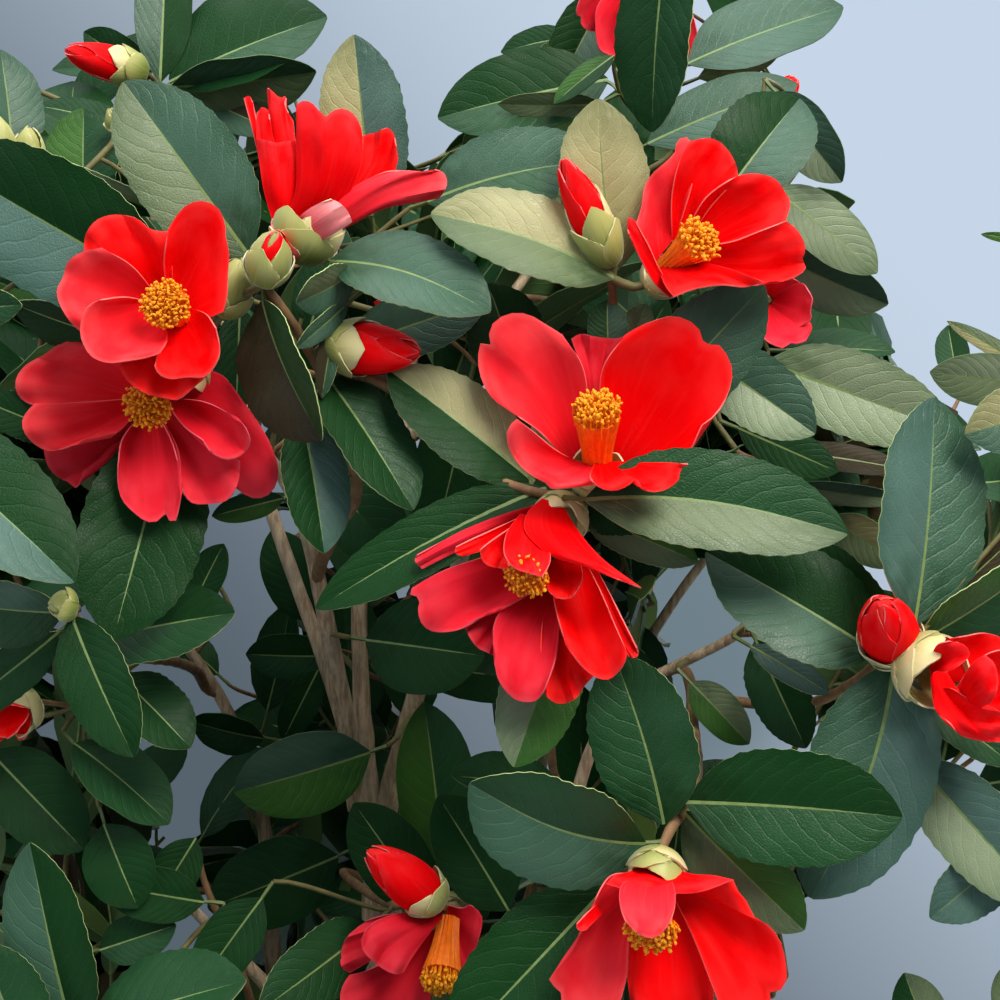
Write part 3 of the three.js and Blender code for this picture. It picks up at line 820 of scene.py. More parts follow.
def bloom(base, axis, rng, size=1.0, opening=1.15, count=6, grid=(10, 9), kind="scarlet", anthers=46, fine=False):
    """A single bloom of broad notched petals round a golden tuft."""
    axis = unit(axis)
    e1 = any_across(axis)
    e2 = cross(axis, e1)
    t0 = rng.uniform(0, 6.28)
    for i in range(count):
        inner_ring = i % 2
        phi = t0 + i * 2 * math.pi / count + rng.uniform(-0.12, 0.12)
        o = e1 * math.cos(phi) + e2 * math.sin(phi)
        psi = opening * rng.uniform(0.85, 1.12) - 0.12 * inner_ring
        L = size * rng.uniform(0.037, 0.043)
        tip = base + (axis * math.cos(psi) + o * math.sin(psi)) * L + axis * (0.001 * inner_ring)
        petal(PETALS[kind], base + o * 0.002 + axis * 0.0006 * inner_ring, axis, tip, size * rng.uniform(0.040, 0.048), cup=0.42, back=0.50, ripple=rng.uniform(0.03, 0.07),
              notch=rng.uniform(0.07, 0.14), grid=grid, rng=rng)
    stamens(base + axis * 0.001, axis, 0.021 * size, 0.0058 * size, anthers, 0.5, 0.00125 if anthers < 80 else 0.00105, rng)
    calyx(base, axis, rng, size, fine=fine, count=6)


# ---------------------------------------------------------------- trunk, stems and boughs
def catmull(points, n):
    """The centripetal curve through points, at n even steps of its length."""
    P = np.asarray(points, float)
    P = np.concatenate([[2 * P[0] - P[1]], P, [2 * P[-1] - P[-2]]])
    out = []
    for i in range(len(P) - 3):
        p0, p1, p2, p3 = P[i:i + 4]
        d0, d1, d2 = [max(np.linalg.norm(b - a) ** 0.5, 1e-6) for a, b in ((p0, p1), (p1, p2), (p2, p3))]
        t1 = ((p1 - p0) / d0 - (p2 - p0) / (d0 + d1) + (p2 - p1) / d1) * d1
        t2 = ((p2 - p1) / d1 - (p3 - p1) / (d1 + d2) + (p3 - p2) / d2) * d1
        seg = hermite(p1, t1, p2, t2, 33)
        out.append(seg if i == len(P) - 4 else seg[:-1])
    c = np.concatenate(out)
    s = np.concatenate([[0], np.cumsum(np.linalg.norm(np.diff(c, axis=0), axis=1))])
    q = np.linspace(0, s[-1], n)
    return np.stack([np.interp(q, s, c[:, k]) for k in range(3)], 1), s[-1]


TIP_R = 0.0020
LIMBS = [  # name, parent, foot radius mm, way points mm, mass entered
    ("stem_left", "trunk", 8.2, [(-10, -14, 166), (-20, -32, 300), (-12, -52, 520), (-10, -60, 640), (-22, -60, 700), (-56, -52, 800), (-80, -40, 900)], "foliage_top_left"),
    ("stem_centre", "trunk", 8.6, [(-2, -8, 166), (8, -8, 320), (2, -28, 560), (-14, -42, 700), (-8, -36, 790), (50, -32, 880), (88, -30, 930)], "foliage_top_right"),
    ("stem_side_left", "trunk", 7.6, [(-16, -8, 164), (-46, 2, 320), (-62, 8, 520), (-72, 8, 650), (-104, 0, 720), (-160, 0, 770)], "foliage_side_left"),
    ("stem_right", "trunk", 7.8, [(6, -12, 164), (36, -30, 320), (58, -48, 480), (74, -62, 600), (98, -72, 700), (150, -110, 745)], "foliage_right_front"),
    ("stem_back_left", "trunk", 7.2, [(-12, 2, 164), (-32, 34, 320), (-50, 62, 480), (-70, 100, 640), (-76, 150, 740)], "foliage_back_left"),
    ("stem_back_right", "trunk", 7.4, [(0, 2, 164), (30, 30, 320), (50, 58, 480), (72, 92, 630), (98, 150, 730)], "foliage_back_right"),
    ("bough_centre_front", "stem_centre", 5.2, [(-6, -36, 640), (16, -56, 720), (40, -84, 790), (66, -130, 835)], "foliage_centre_front"),
    ("bough_left_front", "stem_left", 5.0, [(-14, -58, 655), (-24, -72, 730), (-38, -92, 800), (-66, -130, 850)], "foliage_left_front"),
    ("bough_low_right", "stem_right", 5.0, [(66, -54, 540), (82, -80, 590), (98, -120, 630)], "foliage_low_right_front"),
    ("bough_low_left", "stem_left", 5.0, [(-14, -50, 480), (-44, -72, 560), (-84, -112, 630)], "foliage_low_left_front"),
    ("bough_side_right", "stem_back_right", 4.8, [(54, 66, 520), (92, 66, 640), (140, 58, 730), (176, 50, 780)], "foliage_side_right"),
    ("bough_top_back", "stem_centre", 5.0, [(-8, -36, 760), (4, 10, 830), (6, 66, 890), (6, 100, 930)], "foliage_top_back"),
    ("bough_waist_front", "stem_left", 4.8, [(-18, -44, 400), (-16, -84, 450), (-12, -130, 505)], "foliage_waist_front"),
    ("bough_waist_left", "stem_side_left", 4.8, [(-49, 4, 350), (-84, 8, 430), (-140, 16, 525)], "foliage_waist_left"),
    ("bough_waist_right", "stem_right", 4.8, [(44, -36, 380), (80, -22, 440), (140, 2, 520)], "foliage_waist_right"),
    ("bough_waist_back", "stem_back_left", 4.8, [(-40, 48, 400), (-28, 92, 450), (-10, 140, 515)], "foliage_waist_back"),
    ("bough_skirt_left", "trunk", 4.6, [(-8, -12, 122), (-48, -36, 205), (-86, -58, 290), (-112, -76, 355)], "foliage_skirt_left"),
    ("bough_skirt_right", "trunk", 4.6, [(4, -12, 118), (46, -38, 200), (86, -60, 284), (114, -76, 348)], "foliage_skirt_right"),
    ("bough_skirt_back", "trunk", 4.6, [(-2, 2, 120), (8, 46, 200), (10, 92, 280), (8, 126, 340)], "foliage_skirt_back"),
]

skel_p, skel_d, skel_r, skel_m = [], [], [], []  # places on the wood, their direction, radius and mass


def remember(pts, radii, mass):
    d = unit(np.gradient(pts, axis=0))
    for p, q, r in zip(pts, d, np.broadcast_to(radii, (len(pts),))):
        skel_p.append(p); skel_d.append(q); skel_r.append(float(r)); skel_m.append(mass)


def bark_relief(rng, radius, length, rows):
    """Long shallow ridges, scars of old leaves and slight swellings."""
    k = rng.uniform(0, 6.28, 10)
    scars = [(rng.uniform(0.04, 0.96) * rows, rng.uniform(0, 6.28)) for _ in range(max(2, int(length / 0.045)))]

    def f(i, a):
        z = i / max(rows - 1, 1)
        r = 0.035 * radius * np.sin(3 * a + k[0] + 5 * z) + 0.025 * radius * np.sin(7 * a + k[1] - 9 * z)
        r = r + 0.030 * radius * np.sin(2 * math.pi * z * length / 0.06 + k[2]) + 0.020 * radius * np.sin(2 * math.pi * z * length / 0.023 + k[3] + 2 * a)
        for s, b in scars:
            da = np.angle(np.exp(1j * (a - b)))
            r = r + 0.16 * radius * np.exp(-((i - s) / 1.1) ** 2 - (da / 0.75) ** 2)
        return r

    return f


rng0 = np.random.default_rng(11)
trunk_pts, trunk_len = catmull(np.array([(0, 0, 0), (0, 0, 40.7), (-2, -3, 114.7), (-4, -6, 185)]) / 1000, 62)
trunk_pts[0, 2] = 0.0
tz = trunk_pts[:, 2]
trunk_r = 0.017 + (0.0135 - 0.017) * np.linspace(0, 1, 62)
_fl = bark_relief(rng0, 0.015, trunk_len, 62)
flare = 0.010 * np.exp(-((tz * 1000 / 34) ** 1.3))


def trunk_relief(i, a):
    return _fl(i, a) * 0.6 + flare[i] * (0.75 + 0.35 * np.cos(5 * a + 0.6)) + 0.0004 * np.sin(22 * a + 3 * np.sin(i * 0.35))


def flat_foot_tube():
    """The trunk, with its foot cut level at the ground."""
    sides, n = 40, 62
    ang = np.arange(sides) / sides * 2 * math.pi
    r = trunk_r[:, None] + trunk_relief(np.arange(n)[:, None], ang[None, :])
    V = trunk_pts[:, None, :] + np.stack([np.cos(ang), np.sin(ang), 0 * ang], -1)[None] * r[..., None]
    V[-1] = trunk_pts[-1] + (V[-1] - trunk_pts[-1]) * 0.72 + np.array([0, 0, 0.003])
    k = np.arange(n * sides).reshape(n, sides)
    kn = np.roll(k, -1, axis=1)
    q = np.stack([k[:-1].ravel(), kn[:-1].ravel(), kn[1:].ravel(), k[1:].ravel()], 1)
    caps = []
    for j in range(sides // 2 - 1):
        caps.append([k[0, sides - j - 1], k[0, sides - j - 2], k[0, j + 1], k[0, j]])
        caps.append([k[-1, j], k[-1, j + 1], k[-1, sides - j - 2], k[-1, sides - j - 1]])
    BARK.add(V.reshape(-1, 3), np.concatenate([q, np.array(caps)]), 0)


flat_foot_tube()
remember(trunk_pts[20:], trunk_r[20:], None)
limb_end = {}
for name, parent, r0, way, mass in LIMBS:
    way = np.array(way) / 1000.0
    _, length = catmull(way, 50)
    rows = max(12, int(length / 0.0055))
    pts, _ = catmull(way, rows)
    z = np.linspace(0, 1, rows)
    rad = TIP_R + (r0 / 1000 - TIP_R) * (1 - z) ** 1.05
    collar = 0.22 * rad * np.exp(-(z * length / 0.014) ** 2)
    relief = bark_relief(rng0, 0.006, length, rows)
    sides = 16 if r0 > 6 else 12
    way_in, thick, below = pts, rad + collar, 0
    if parent == "trunk":  # it runs on down inside the trunk, and so leaves it in a smooth fork
        below = 10
        heart = trunk_pts[int(np.argmin(np.abs(tz - (pts[0, 2] - (0.048 if r0 > 6 else 0.026)))))]
        inner = heart + (np.array([pts[0, 0], pts[0, 1], heart[2]]) - heart) * 0.3
        step = np.linalg.norm(pts[0] - inner)
        lead = hermite(inner, np.array([0, 0, step]), pts[0], unit(pts[1] - pts[0]) * step, below + 1)[:-1]
        way_in = np.concatenate([lead, pts])
        thick = np.concatenate([rad[0] * (1 + 0.22 * np.linspace(0, 1, below + 1)[:-1] ** 2), thick])
    q0 = np.concatenate([np.full(below, rad[0]), rad])
    tube(BARK, way_in, thick, sides, 0, relief=lambda i, a, f=relief, q=q0, k=below: f(i - k, a) * (q[i] / 0.006))
    remember(pts, rad, mass)
    limb_end[mass] = (pts[-1], unit(pts[-1] - pts[-3]))


def near_wood(p, mass=None, along=None):
    """The place on the wood that a new twig to p, which goes on along a direction, would best leave from."""
    P = np.array(skel_p)
    d = p - P
    dist = np.linalg.norm(d, axis=1)
    D = np.array(skel_d)
    ahead = np.einsum("ij,ij->i", d, D) / np.maximum(dist, 1e-9)
    cost = dist * (1.0 + 0.35 * (ahead < 0.05)) + 0.010 * (np.array(skel_r) < 0.0011)
    if mass is not None:
        same = np.array([m == mass for m in skel_m])
        cost = cost + np.where(same, 0, 0.04)
    if along is not None:
        behind = d @ unit(along) / np.maximum(dist, 1e-9)
        cost = cost * (1.0 + 1.1 * np.clip(0.3 - behind, 0, 1.3))
    i = int(np.argmin(cost))
    return i, dist[i]


def twig_path(p, direction, mass=None, strength=0.72, behind=True):
    """The way a twig would take from the nearest wood to p, its length and the thickness of that wood."""
    i, dist = near_wood(p, mass, direction if behind else None)
    strength = strength - 0.25 * min(1.0, max(0.0, (dist - 0.05) / 0.10))
    a, da, ra = skel_p[i], skel_d[i], skel_r[i]
    toward = unit(p - a)
    leave = unit(toward + da * 0.42)
    arrive = unit(toward + unit(direction) * 0.55)
    n = max(5, int(dist / 0.008) + 2)
    return hermite(a - leave * min(ra, 0.002) * 0.3, leave * dist * strength, p, arrive * dist * strength, n), dist, ra


def twig_to(p, direction, r_end=0.0011, mass=None, young=False, behind=True):
    """Grows a twig from the nearest wood to p, where it arrives along direction, and returns its path."""
    path, dist, ra = twig_path(p, direction, mass, 0.72, behind)
    n = len(path)
    k = leaf_count * 0.7 + len(skel_p) * 0.13
    q = np.linspace(0, 1, n)
    wig = 0.012 * dist * np.sin(math.pi * q) * np.sin(9 * q + k)
    path = path + any_across(unit(direction)) * wig[:, None]
    path = np.minimum(np.maximum(path, np.array(CAD_BOX[0]) - 0.004), np.array(CAD_BOX[1]) + 0.006)
    r_start = min(ra * 0.85, r_end + 0.010 * dist + 0.0002)
    rad = r_start + (r_end - r_start) * q ** 0.8
    knots = lambda ii, aa: 0.10 * rad[ii] * np.sin(ii * 2.4 + k) ** 2
    tube(TWIGS, path, rad, 6, 1 if young else 0, relief=knots)
    remember(path[1:], rad[1:], mass)
    return path


# ---------------------------------------------------------------- the shoots, leaves and blooms that the camera sees nearest
def screen_leaf(bx, by, tx, ty, wr, wl, d0, d1=None, cls="mid", cls2=None, fold=16, arch=0.03, bend=0.0, twist=0.0, lod=3, tilt=None,
                wave=0.03, curl=0.0, shape=1.0, stalk=None, seed=None, limit=45):
    """A leaf by where its base and tip show, and how wide its right and left halves look from base to tip, in pixels."""
    d1 = d0 if d1 is None else d1
    B, T = at(bx, by, d0), at(tx, ty, d1)
    mid = (B + T) / 2
    a = unit(T - B)
    n0 = CAM - mid
    n0 = unit(n0 - a * (n0 @ a))
    s = cross(a, n0)
    phi = math.radians(fold)
    if tilt is None:
        diff = (wr - wl) / (wr + wl)
        roll = math.atan(diff / math.tan(phi)) if abs(phi) > 1e-3 else 0.0
        roll = max(-math.radians(limit), min(math.radians(limit), roll))
    else:
        roll = math.radians(tilt)
    n = n0 * math.cos(roll) + s * math.sin(roll)
    px = SPAN * (d0 + d1) / 2 / 1000
    half_r = wr * px / max(math.cos(roll - phi), 0.35)
    half_l = wl * px / max(math.cos(roll + phi), 0.35)
    rng = np.random.default_rng(seed if seed is not None else int(bx * 7 + by * 13 + tx * 3 + ty))
    i, dist = near_wood(B, None, a if lod < 3 else None)
    back = unit(-a * 0.9 + (FWD * 0.35))
    if dist > 0.013:
        foot = B + back * 0.008
        twig_to(foot, unit(-back + np.array([0, 0, 0.2])), 0.0010, None, True, lod < 3)
        start, sd = foot, unit(a + FWD * 0.1)
    else:
        start, sd = skel_p[i], unit(unit(B - skel_p[i]) + skel_d[i] * 0.5)
    out = add_leaf(B, T, n, half_r, half_l, start, cls, cls2, lod, fold=math.tan(phi), arch=arch, bend=bend, twist=twist, wave=wave,
                   curl=curl, shape=shape, rng=rng, stalk_dir=sd)
    c, S, N, w = out
    for u in (-0.92, -0.7, -0.45, -0.2, 0, 0.2, 0.45, 0.7, 0.92):
        hero_pts.append(c + S * ((half_r if u > 0 else half_l) * w * u)[:, None])
    return out


hero_pts = []


def shoot(points, r0=0.0024, r1=0.0013, young=False, join=True, steps=None):
    """A twig through places on the screen, each (px, py, depth)."""
    P = np.array([at(*p) for p in points])
    if join:
        i, dist = near_wood(P[0])
        if dist > 0.003:
            P = np.concatenate([[skel_p[i]], P])
    length = np.linalg.norm(np.diff(P, axis=0), axis=1).sum()
    n = steps or max(5, int(length / 0.004))
    c, _ = catmull(P, n)
    q = np.linspace(0, 1, n)
    rad = r0 + (r1 - r0) * q
    k = points[0][0] * 0.37
    bumps = lambda i, a: 0.13 * rad[i] * (0.5 + 0.5 * np.sin(i * 1.3 + k)) ** 4 + 0.05 * rad[i] * np.sin(3 * a + i * 0.4)
    tube(TWIGS, c, rad, 8, 1 if young else 0, relief=bumps)
    remember(c, rad, None)
    hero_pts.append(c)
    return c


def drawn(points, n, closed=False):
    """n even steps along a smooth curve through places on the screen."""
    p = np.array([(x, y, 0.0) for x, y in points], float)
    if len(p) == 2:
        return p[0, :2] + (p[1, :2] - p[0, :2]) * np.linspace(0, 1, n)[:, None]
    return catmull(p, n)[0][:, :2]


def patch(kind, left, top, right, d0, d1, hollow=0.003, curl=0.0, ripple=0.0016, face="in", seed=1, grid=(22, 19), rise=1.5, thick=0.0005, skew=0.0, wave=2.0, mats=None):
    """A petal by its outline on the screen: left and right edges from foot to tip, and the edge between their tips.
    d0 and d1 are the depths of foot and tip; hollow sinks its middle, curl turns its free edge away."""
    nv, nu = grid
    v, u = np.linspace(0, 1, nv), np.linspace(0, 1, nu)
    A, B = drawn(left, nv), drawn(right, nv)
    T = drawn([left[-1]] + list(top) + [right[-1]], nu)
    F = A[0] + (B[0] - A[0]) * u[:, None]
    V, U = v[:, None, None], u[None, :, None]
    S = (1 - V) * F[None] + V * T[None] + (1 - U) * A[:, None] + U * B[:, None]
    S = S - ((1 - U) * (1 - V) * A[0] + U * (1 - V) * B[0] + (1 - U) * V * A[-1] + U * V * B[-1])
    rng = np.random.default_rng(seed)
    k = rng.uniform(0, 6.28, 6)
    vv, uu = v[:, None], u[None, :]
    d = d0 + (d1 - d0) * (1 - (1 - vv) ** rise) + hollow * 4 * uu * (1 - uu) * np.sin(math.pi * np.clip(vv * 0.85, 0, 1))
    d = d + curl * np.clip((vv - 0.72) / 0.28, 0, 1) ** 2 + skew * (uu - 0.5) * vv
    d = d + ripple * vv ** 1.5 * (np.sin(2 * math.pi * wave * uu + k[0] + 1.5 * vv) + 0.45 * np.sin(2 * math.pi * 2.3 * wave * uu + k[1] + 2.5 * vv) * vv)
    d = d + 0.4 * ripple * np.sin(2 * math.pi * (1.3 * vv + 0.6 * uu) + k[2]) * np.sin(math.pi * vv)
    P = CAM + FWD * d[..., None] + RIGHT * ((S[..., :1] - 500) / 1000 * SPAN * d[..., None]) + UP * ((500 - S[..., 1:]) / 1000 * SPAN * d[..., None])
    m = (nv // 2, nu // 2)
    n = cross(P[m[0], m[1] + 1] - P[m[0], m[1] - 1], P[m[0] + 1, m[1]] - P[m[0] - 1, m[1]])
    to_camera = n @ (CAM - P[m]) > 0
    if to_camera != (face == "in"):
        P = P[:, ::-1]
    sheet(PETALS[kind] if isinstance(kind, str) else kind, P, thick, (u * 0.98 + 0.01), v)
    hero_pts.append(P.reshape(-1, 3))


def tuft(base, tip, radius, anthers, seed, spread=0.35, size=0.00105, column=0.70, flare=1.0):
    B, Q = at(*base), at(*tip)
    stamens(B, Q - B, np.linalg.norm(Q - B), radius, anthers, spread, size, np.random.default_rng(seed), column, flare)
    hero_pts.append(np.stack([B, Q]))


def screen_calyx(base, toward, size, kinds, seed, count=7):
    B, Q = at(*base), at(*toward)
    calyx(B, Q - B, np.random.default_rng(seed), size, kinds, True, count)


def screen_petals(base, toward, tips, kind="scarlet", seed=1, calyx_size=0.0, anthers=0, tuft_radius=0.0062, grid=(14, 13), calyx_kinds=("green", "cream"), spread=0.5, column=0.62, anther_size=0.00105):
    """A half-hidden bloom: base and toward are (px, py, depth); each tip is (px, py, depth, width px, cup, back, ripple, notch)."""
    rng = np.random.default_rng(seed)
    B, Q = at(*base), at(*toward)
    axis = unit(Q - B)
    px = SPAN * base[2] / 1000
    for i, tp in enumerate(tips):
        x, y, d, w = tp[:4]
        cup, back, rip, notch = [tp[j] if len(tp) > j else e for j, e in ((4, 0.45), (5, 0.35), (6, 0.05), (7, 0.08))]
        T = at(x, y, d)
        out = unit((T - B) - axis * ((T - B) @ axis))
        P = petal(PETALS[kind], B + out * 0.0022 + axis * (0.0006 * (i % 3)), axis, T, w * px, cup, back, rip, notch, grid, rng)
        hero_pts.append(P.reshape(-1, 3))
    if anthers:
        stamens(B + axis * 0.001, axis, np.linalg.norm(Q - B), tuft_radius, anthers, spread, anther_size, rng, column)
    if calyx_size:
        calyx(B, axis, rng, calyx_size, kinds=calyx_kinds)


def screen_bud(base, tip, radius_px, kind, seed=1, reach=0.52):
    B, T = at(*base), at(*tip)
    L = np.linalg.norm(T - B)
    rng = np.random.default_rng(seed)
    bud(B, T - B, L, radius_px * SPAN * base[2] / 1000, kind, rng, True, reach)
    i, dist = near_wood(B)
    if dist > 0.012:
        twig_to(B, T - B, 0.0012, None, young=True)
    else:
        p = skel_p[i]
        g = max(dist, 0.003)
        tube(TWIGS, hermite(p, unit(B - p + 1e-9) * g, B + unit(T - B) * 0.001, unit(T - B) * g, 5), np.linspace(0.0014, 0.0016, 5), 6, 1)
    hero_pts.append(B[None] + (T - B)[None] * np.linspace(0, 1, 6)[:, None])



# young wood that carries what the camera sees nearest
shoot([(318, 588, .735), (322, 560, .705), (338, 528, .682), (356, 494, .66), (352, 455, .645), (340, 415, .632), (322, 375, .62), (292, 322, .61), (262, 283, .603)], .0030, .0017)
shoot([(262, 283, .603), (282, 268, .603), (300, 252, .604)], .0018, .0016, True)
shoot([(264, 285, .603), (240, 296, .607), (215, 308, .609), (188, 322, .609)], .0017, .0015, True)
shoot([(232, 300, .608), (205, 335, .620), (165, 372, .629)], .0016, .0015, True)
shoot([(322, 378, .620), (352, 374, .616), (378, 381, .612), (404, 398, .611), (432, 428, .611), (470, 460, .607), (502, 482, .604), (545, 494, .601), (574, 499, .600)], .0022, .0017)
shoot([(574, 499, .600), (588, 488, .601), (598, 474, .602)], .0018, .0016, True)
shoot([(574, 499, .600), (566, 502, .599), (560, 504, .599)], .0018, .0016, True)
shoot([(574, 499, .602), (598, 450, .626), (606, 385, .634), (611, 330, .626), (613, 300, .616), (611, 276, .608)], .0021, .0017)
shoot([(611, 278, .608), (632, 287, .610), (658, 282, .609)], .0017, .0015, True)
shoot([(682, 668, .73), (694, 730, .69), (696, 780, .64), (684, 812, .602), (670, 830, .592), (662, 848, .588), (656, 862, .587)], .0026, .0018)
shoot([(775, 705, .71), (820, 700, .66), (862, 676, .622), (888, 652, .597)], .0024, .0017)
shoot([(888, 652, .597), (902, 657, .594), (916, 661, .592)], .0018, .0016, True)
shoot([(208, 690, .816), (199, 674, .800), (180, 663, .755), (152, 659, .70), (118, 654, .655), (92, 636, .622), (73, 614, .603)], .0026, .0017)
shoot([(672, 150, .775), (646, 122, .766), (622, 96, .758), (614, 68, .750)], .0018, .0011, True)
shoot([(345, 872, .76), (392, 905, .70), (430, 902, .674), (444, 906, .668)], .0022, .0016)
shoot([(262, 1030, .740), (246, 985, .715), (222, 925, .700), (204, 880, .694), (196, 845, .690)], .0022, .0012)
shoot([(205, 235, .76), (182, 165, .785), (160, 84, .79)], .0020, .0014)
shoot([(560, 790, .69), (552, 760, .665), (556, 690, .63), (562, 625, .606)], .0019, .0014)

# the bloom at the upper left, seen full face; two petals in the rose copy, a paler red with painted highlight where the
# light falls
patch("scarlet", [(158, 302), (120, 282), (84, 252)], [(86, 234), (97, 220), (114, 215), (136, 218), (152, 230)], [(172, 296), (172, 262), (167, 232)], .606, .595, .003, .002, seed=101)
patch("scarlet", [(168, 298), (164, 262), (168, 230)], [(178, 214), (190, 203), (205, 201), (218, 208), (225, 224), (226, 240), (229, 250), (228, 275), (227, 298)], [(188, 314), (206, 318), (223, 312)], .606, .589, .005, .0015, seed=102, wave=1.3)
patch("lit_rose", [(160, 300), (132, 266), (102, 248)], [(82, 252), (68, 262), (63, 278), (57, 290), (60, 305), (70, 321)], [(156, 316), (118, 324), (79, 330)], .606, .588, .004, .002, seed=103, wave=1.6)
patch("scarlet", [(165, 322), (134, 345), (118, 363)], [(124, 376), (136, 388), (150, 395), (165, 398), (177, 400), (192, 389)], [(184, 322), (200, 350), (206, 377)], .607, .590, .002, .0, seed=104)
patch("scarlet", [(170, 320), (160, 345), (155, 366)], [(159, 374), (170, 379), (188, 377), (204, 377), (214, 367), (220, 352)], [(190, 308), (206, 314), (216, 328)], .606, .584, .004, -.001, seed=105, wave=1.4)
patch("lit_rose", [(152, 302), (125, 297), (99, 300)], [(88, 306), (82, 318), (80, 332), (84, 346), (92, 357), (108, 363), (128, 361), (146, 358)], [(166, 322), (167, 340), (159, 354)], .606, .578, .005, .0005, seed=106, wave=1.2)
tuft((180, 318, .604), (164, 303, .583), .0068, 210, 3, spread=.30, size=.00102)
# the duller one below it, in the shade of the one above: its crimson petals are painted darker for that shade, its lit
# petals are in the rose copy with painted highlight
patch("crimson", [(136, 414), (90, 440), (44, 451)], [(48, 466), (58, 477), (68, 482), (76, 488), (84, 470)], [(138, 420), (118, 442), (93, 452)], .628, .634, .002, .001, seed=111)
patch("lit_rose", [(142, 386), (112, 350), (85, 338)], [(62, 343), (42, 356), (24, 367), (16, 380), (17, 392), (24, 401)], [(137, 402), (90, 404), (33, 405)], .628, .622, .003, .003, seed=112)
patch("lit_rose", [(138, 398), (85, 402), (35, 404)], [(26, 413), (22, 424), (26, 435), (36, 445), (48, 451), (62, 449), (78, 444), (96, 440)], [(134, 414), (124, 427), (111, 437)], .628, .616, .003, .002, seed=113)
patch("crimson", [(172, 388), (205, 371), (222, 375), (240, 398)], [(256, 420), (270, 444), (278, 470), (275, 487), (266, 496), (254, 498), (243, 493)], [(160, 412), (200, 450), (232, 484)], .628, .620, -.003, .003, seed=114, wave=1.5)
patch("crimson", [(140, 415), (122, 440), (118, 465)], [(118, 487), (123, 501), (133, 512), (148, 522), (160, 520), (165, 512), (169, 520), (174, 523), (179, 508)], [(160, 415), (178, 450), (182, 490)], .628, .611, .003, .0, seed=115, wave=2.2)
patch("crimson", [(156, 412), (172, 442), (181, 476)], [(184, 494), (192, 503), (208, 504), (226, 501), (234, 492), (239, 478)], [(168, 405), (205, 430), (240, 462)], .628, .612, .003, .001, seed=116)
patch("crimson", [(168, 405), (184, 426), (203, 440)], [(212, 453), (226, 459), (240, 456), (250, 444), (247, 430)], [(172, 398), (205, 402), (238, 418)], .627, .606, .004, -.001, seed=117, grid=(16, 15))
tuft((160, 384, .622), (146, 408, .601), .0066, 170, 5, spread=.38, size=.00098)
screen_calyx((190, 362, .630), (160, 400, .615), 1.25, ("cream", "green"), 6)
# the one at the top, seen from behind and below; one petal in the rose copy, with painted highlight
patch("scarlet", [(268, 205), (257, 150), (250, 120), (244, 98)], [(249, 96)], [(274, 205), (264, 150), (256, 118), (253, 103)], .606, .618, .0, .0, .0008, face="out", seed=121, grid=(18, 7))
patch("scarlet", [(276, 205), (272, 160), (270, 130), (269, 102)], [(268, 88), (275, 94), (281, 98), (286, 96), (285, 104), (289, 114)], [(296, 205), (298, 160), (295, 140), (293, 121)], .606, .616, -.001, .0, seed=122, face="out")
patch("scarlet", [(268, 208), (258, 150), (256, 125), (257, 113)], [(263, 107), (268, 111)], [(282, 208), (276, 150), (272, 135), (270, 122)], .606, .611, -.001, .0, .0008, face="out", seed=123, grid=(20, 11))
patch("scarlet", [(330, 214), (352, 180), (362, 155), (362, 137)], [(368, 134), (376, 133), (381, 130), (388, 128), (393, 133), (396, 145)], [(345, 220), (374, 198), (392, 182), (398, 158)], .606, .612, .003, .0, seed=124, face="in")
patch("lit_rose", [(312, 226), (350, 190), (385, 172), (408, 171)], [(425, 172), (438, 170), (445, 175), (447, 184), (444, 191)], [(322, 240), (352, 224), (385, 208), (412, 203), (439, 198)], .603, .600, -.004, .002, seed=125, face="out")
patch("scarlet", [(272, 220), (264, 190), (260, 165), (257, 139)], [(266, 140), (276, 143), (288, 141)], [(294, 226), (300, 190), (302, 160), (300, 141)], .604, .604, -.003, .0, .001, face="out", seed=126)
patch("scarlet", [(284, 226), (296, 190), (297, 150), (297, 116)], [(297, 105), (303, 101), (312, 103), (320, 112), (326, 117), (333, 111), (342, 109), (352, 113), (360, 126)], [(330, 216), (350, 192), (361, 165), (363, 141)], .603, .597, -.005, .001, seed=127, face="out", wave=1.2)
patch(SCALES["pink"], [(292, 224), (305, 212), (320, 203), (331, 199)], [(339, 203), (346, 209), (350, 216)], [(306, 246), (320, 241), (336, 232), (352, 222)], .597, .590, -.003, .0, .0008, face="out", seed=128, grid=(16, 13))
screen_calyx((300, 252, .605), (320, 190, .602), 1.42, ("cream", "pink", "green"), 7, 8)
# the cupped one at the upper right; one petal in the rose copy, with painted highlight
patch("lit_rose", [(652, 266), (644, 245), (636, 224)], [(642, 206), (644, 188), (654, 172), (668, 160), (675, 152), (677, 141), (685, 137), (691, 142)], [(676, 236), (686, 205), (693, 180), (696, 156)], .607, .598, .005, .002, seed=131, wave=1.5)
patch("scarlet", [(672, 240), (672, 195), (680, 160), (690, 142)], [(700, 139), (710, 138), (718, 141), (728, 150), (734, 160), (737, 170)], [(690, 238), (710, 208), (724, 192), (738, 178)], .607, .594, .004, .002, seed=132)
patch("scarlet", [(686, 232), (704, 200), (720, 186), (737, 176)], [(752, 174), (765, 175), (775, 179), (782, 187), (785, 193), (789, 198), (790, 208), (787, 216)], [(696, 252), (735, 240), (762, 232), (786, 222)], .606, .590, .005, .003, seed=133, wave=1.5)
patch("scarlet", [(690, 246), (730, 242), (760, 231), (786, 221)], [(797, 230), (804, 242), (805, 252), (802, 260), (806, 266), (803, 272), (793, 278), (780, 282)], [(672, 268), (705, 281), (735, 286), (766, 284)], .606, .584, .005, .002, seed=134)
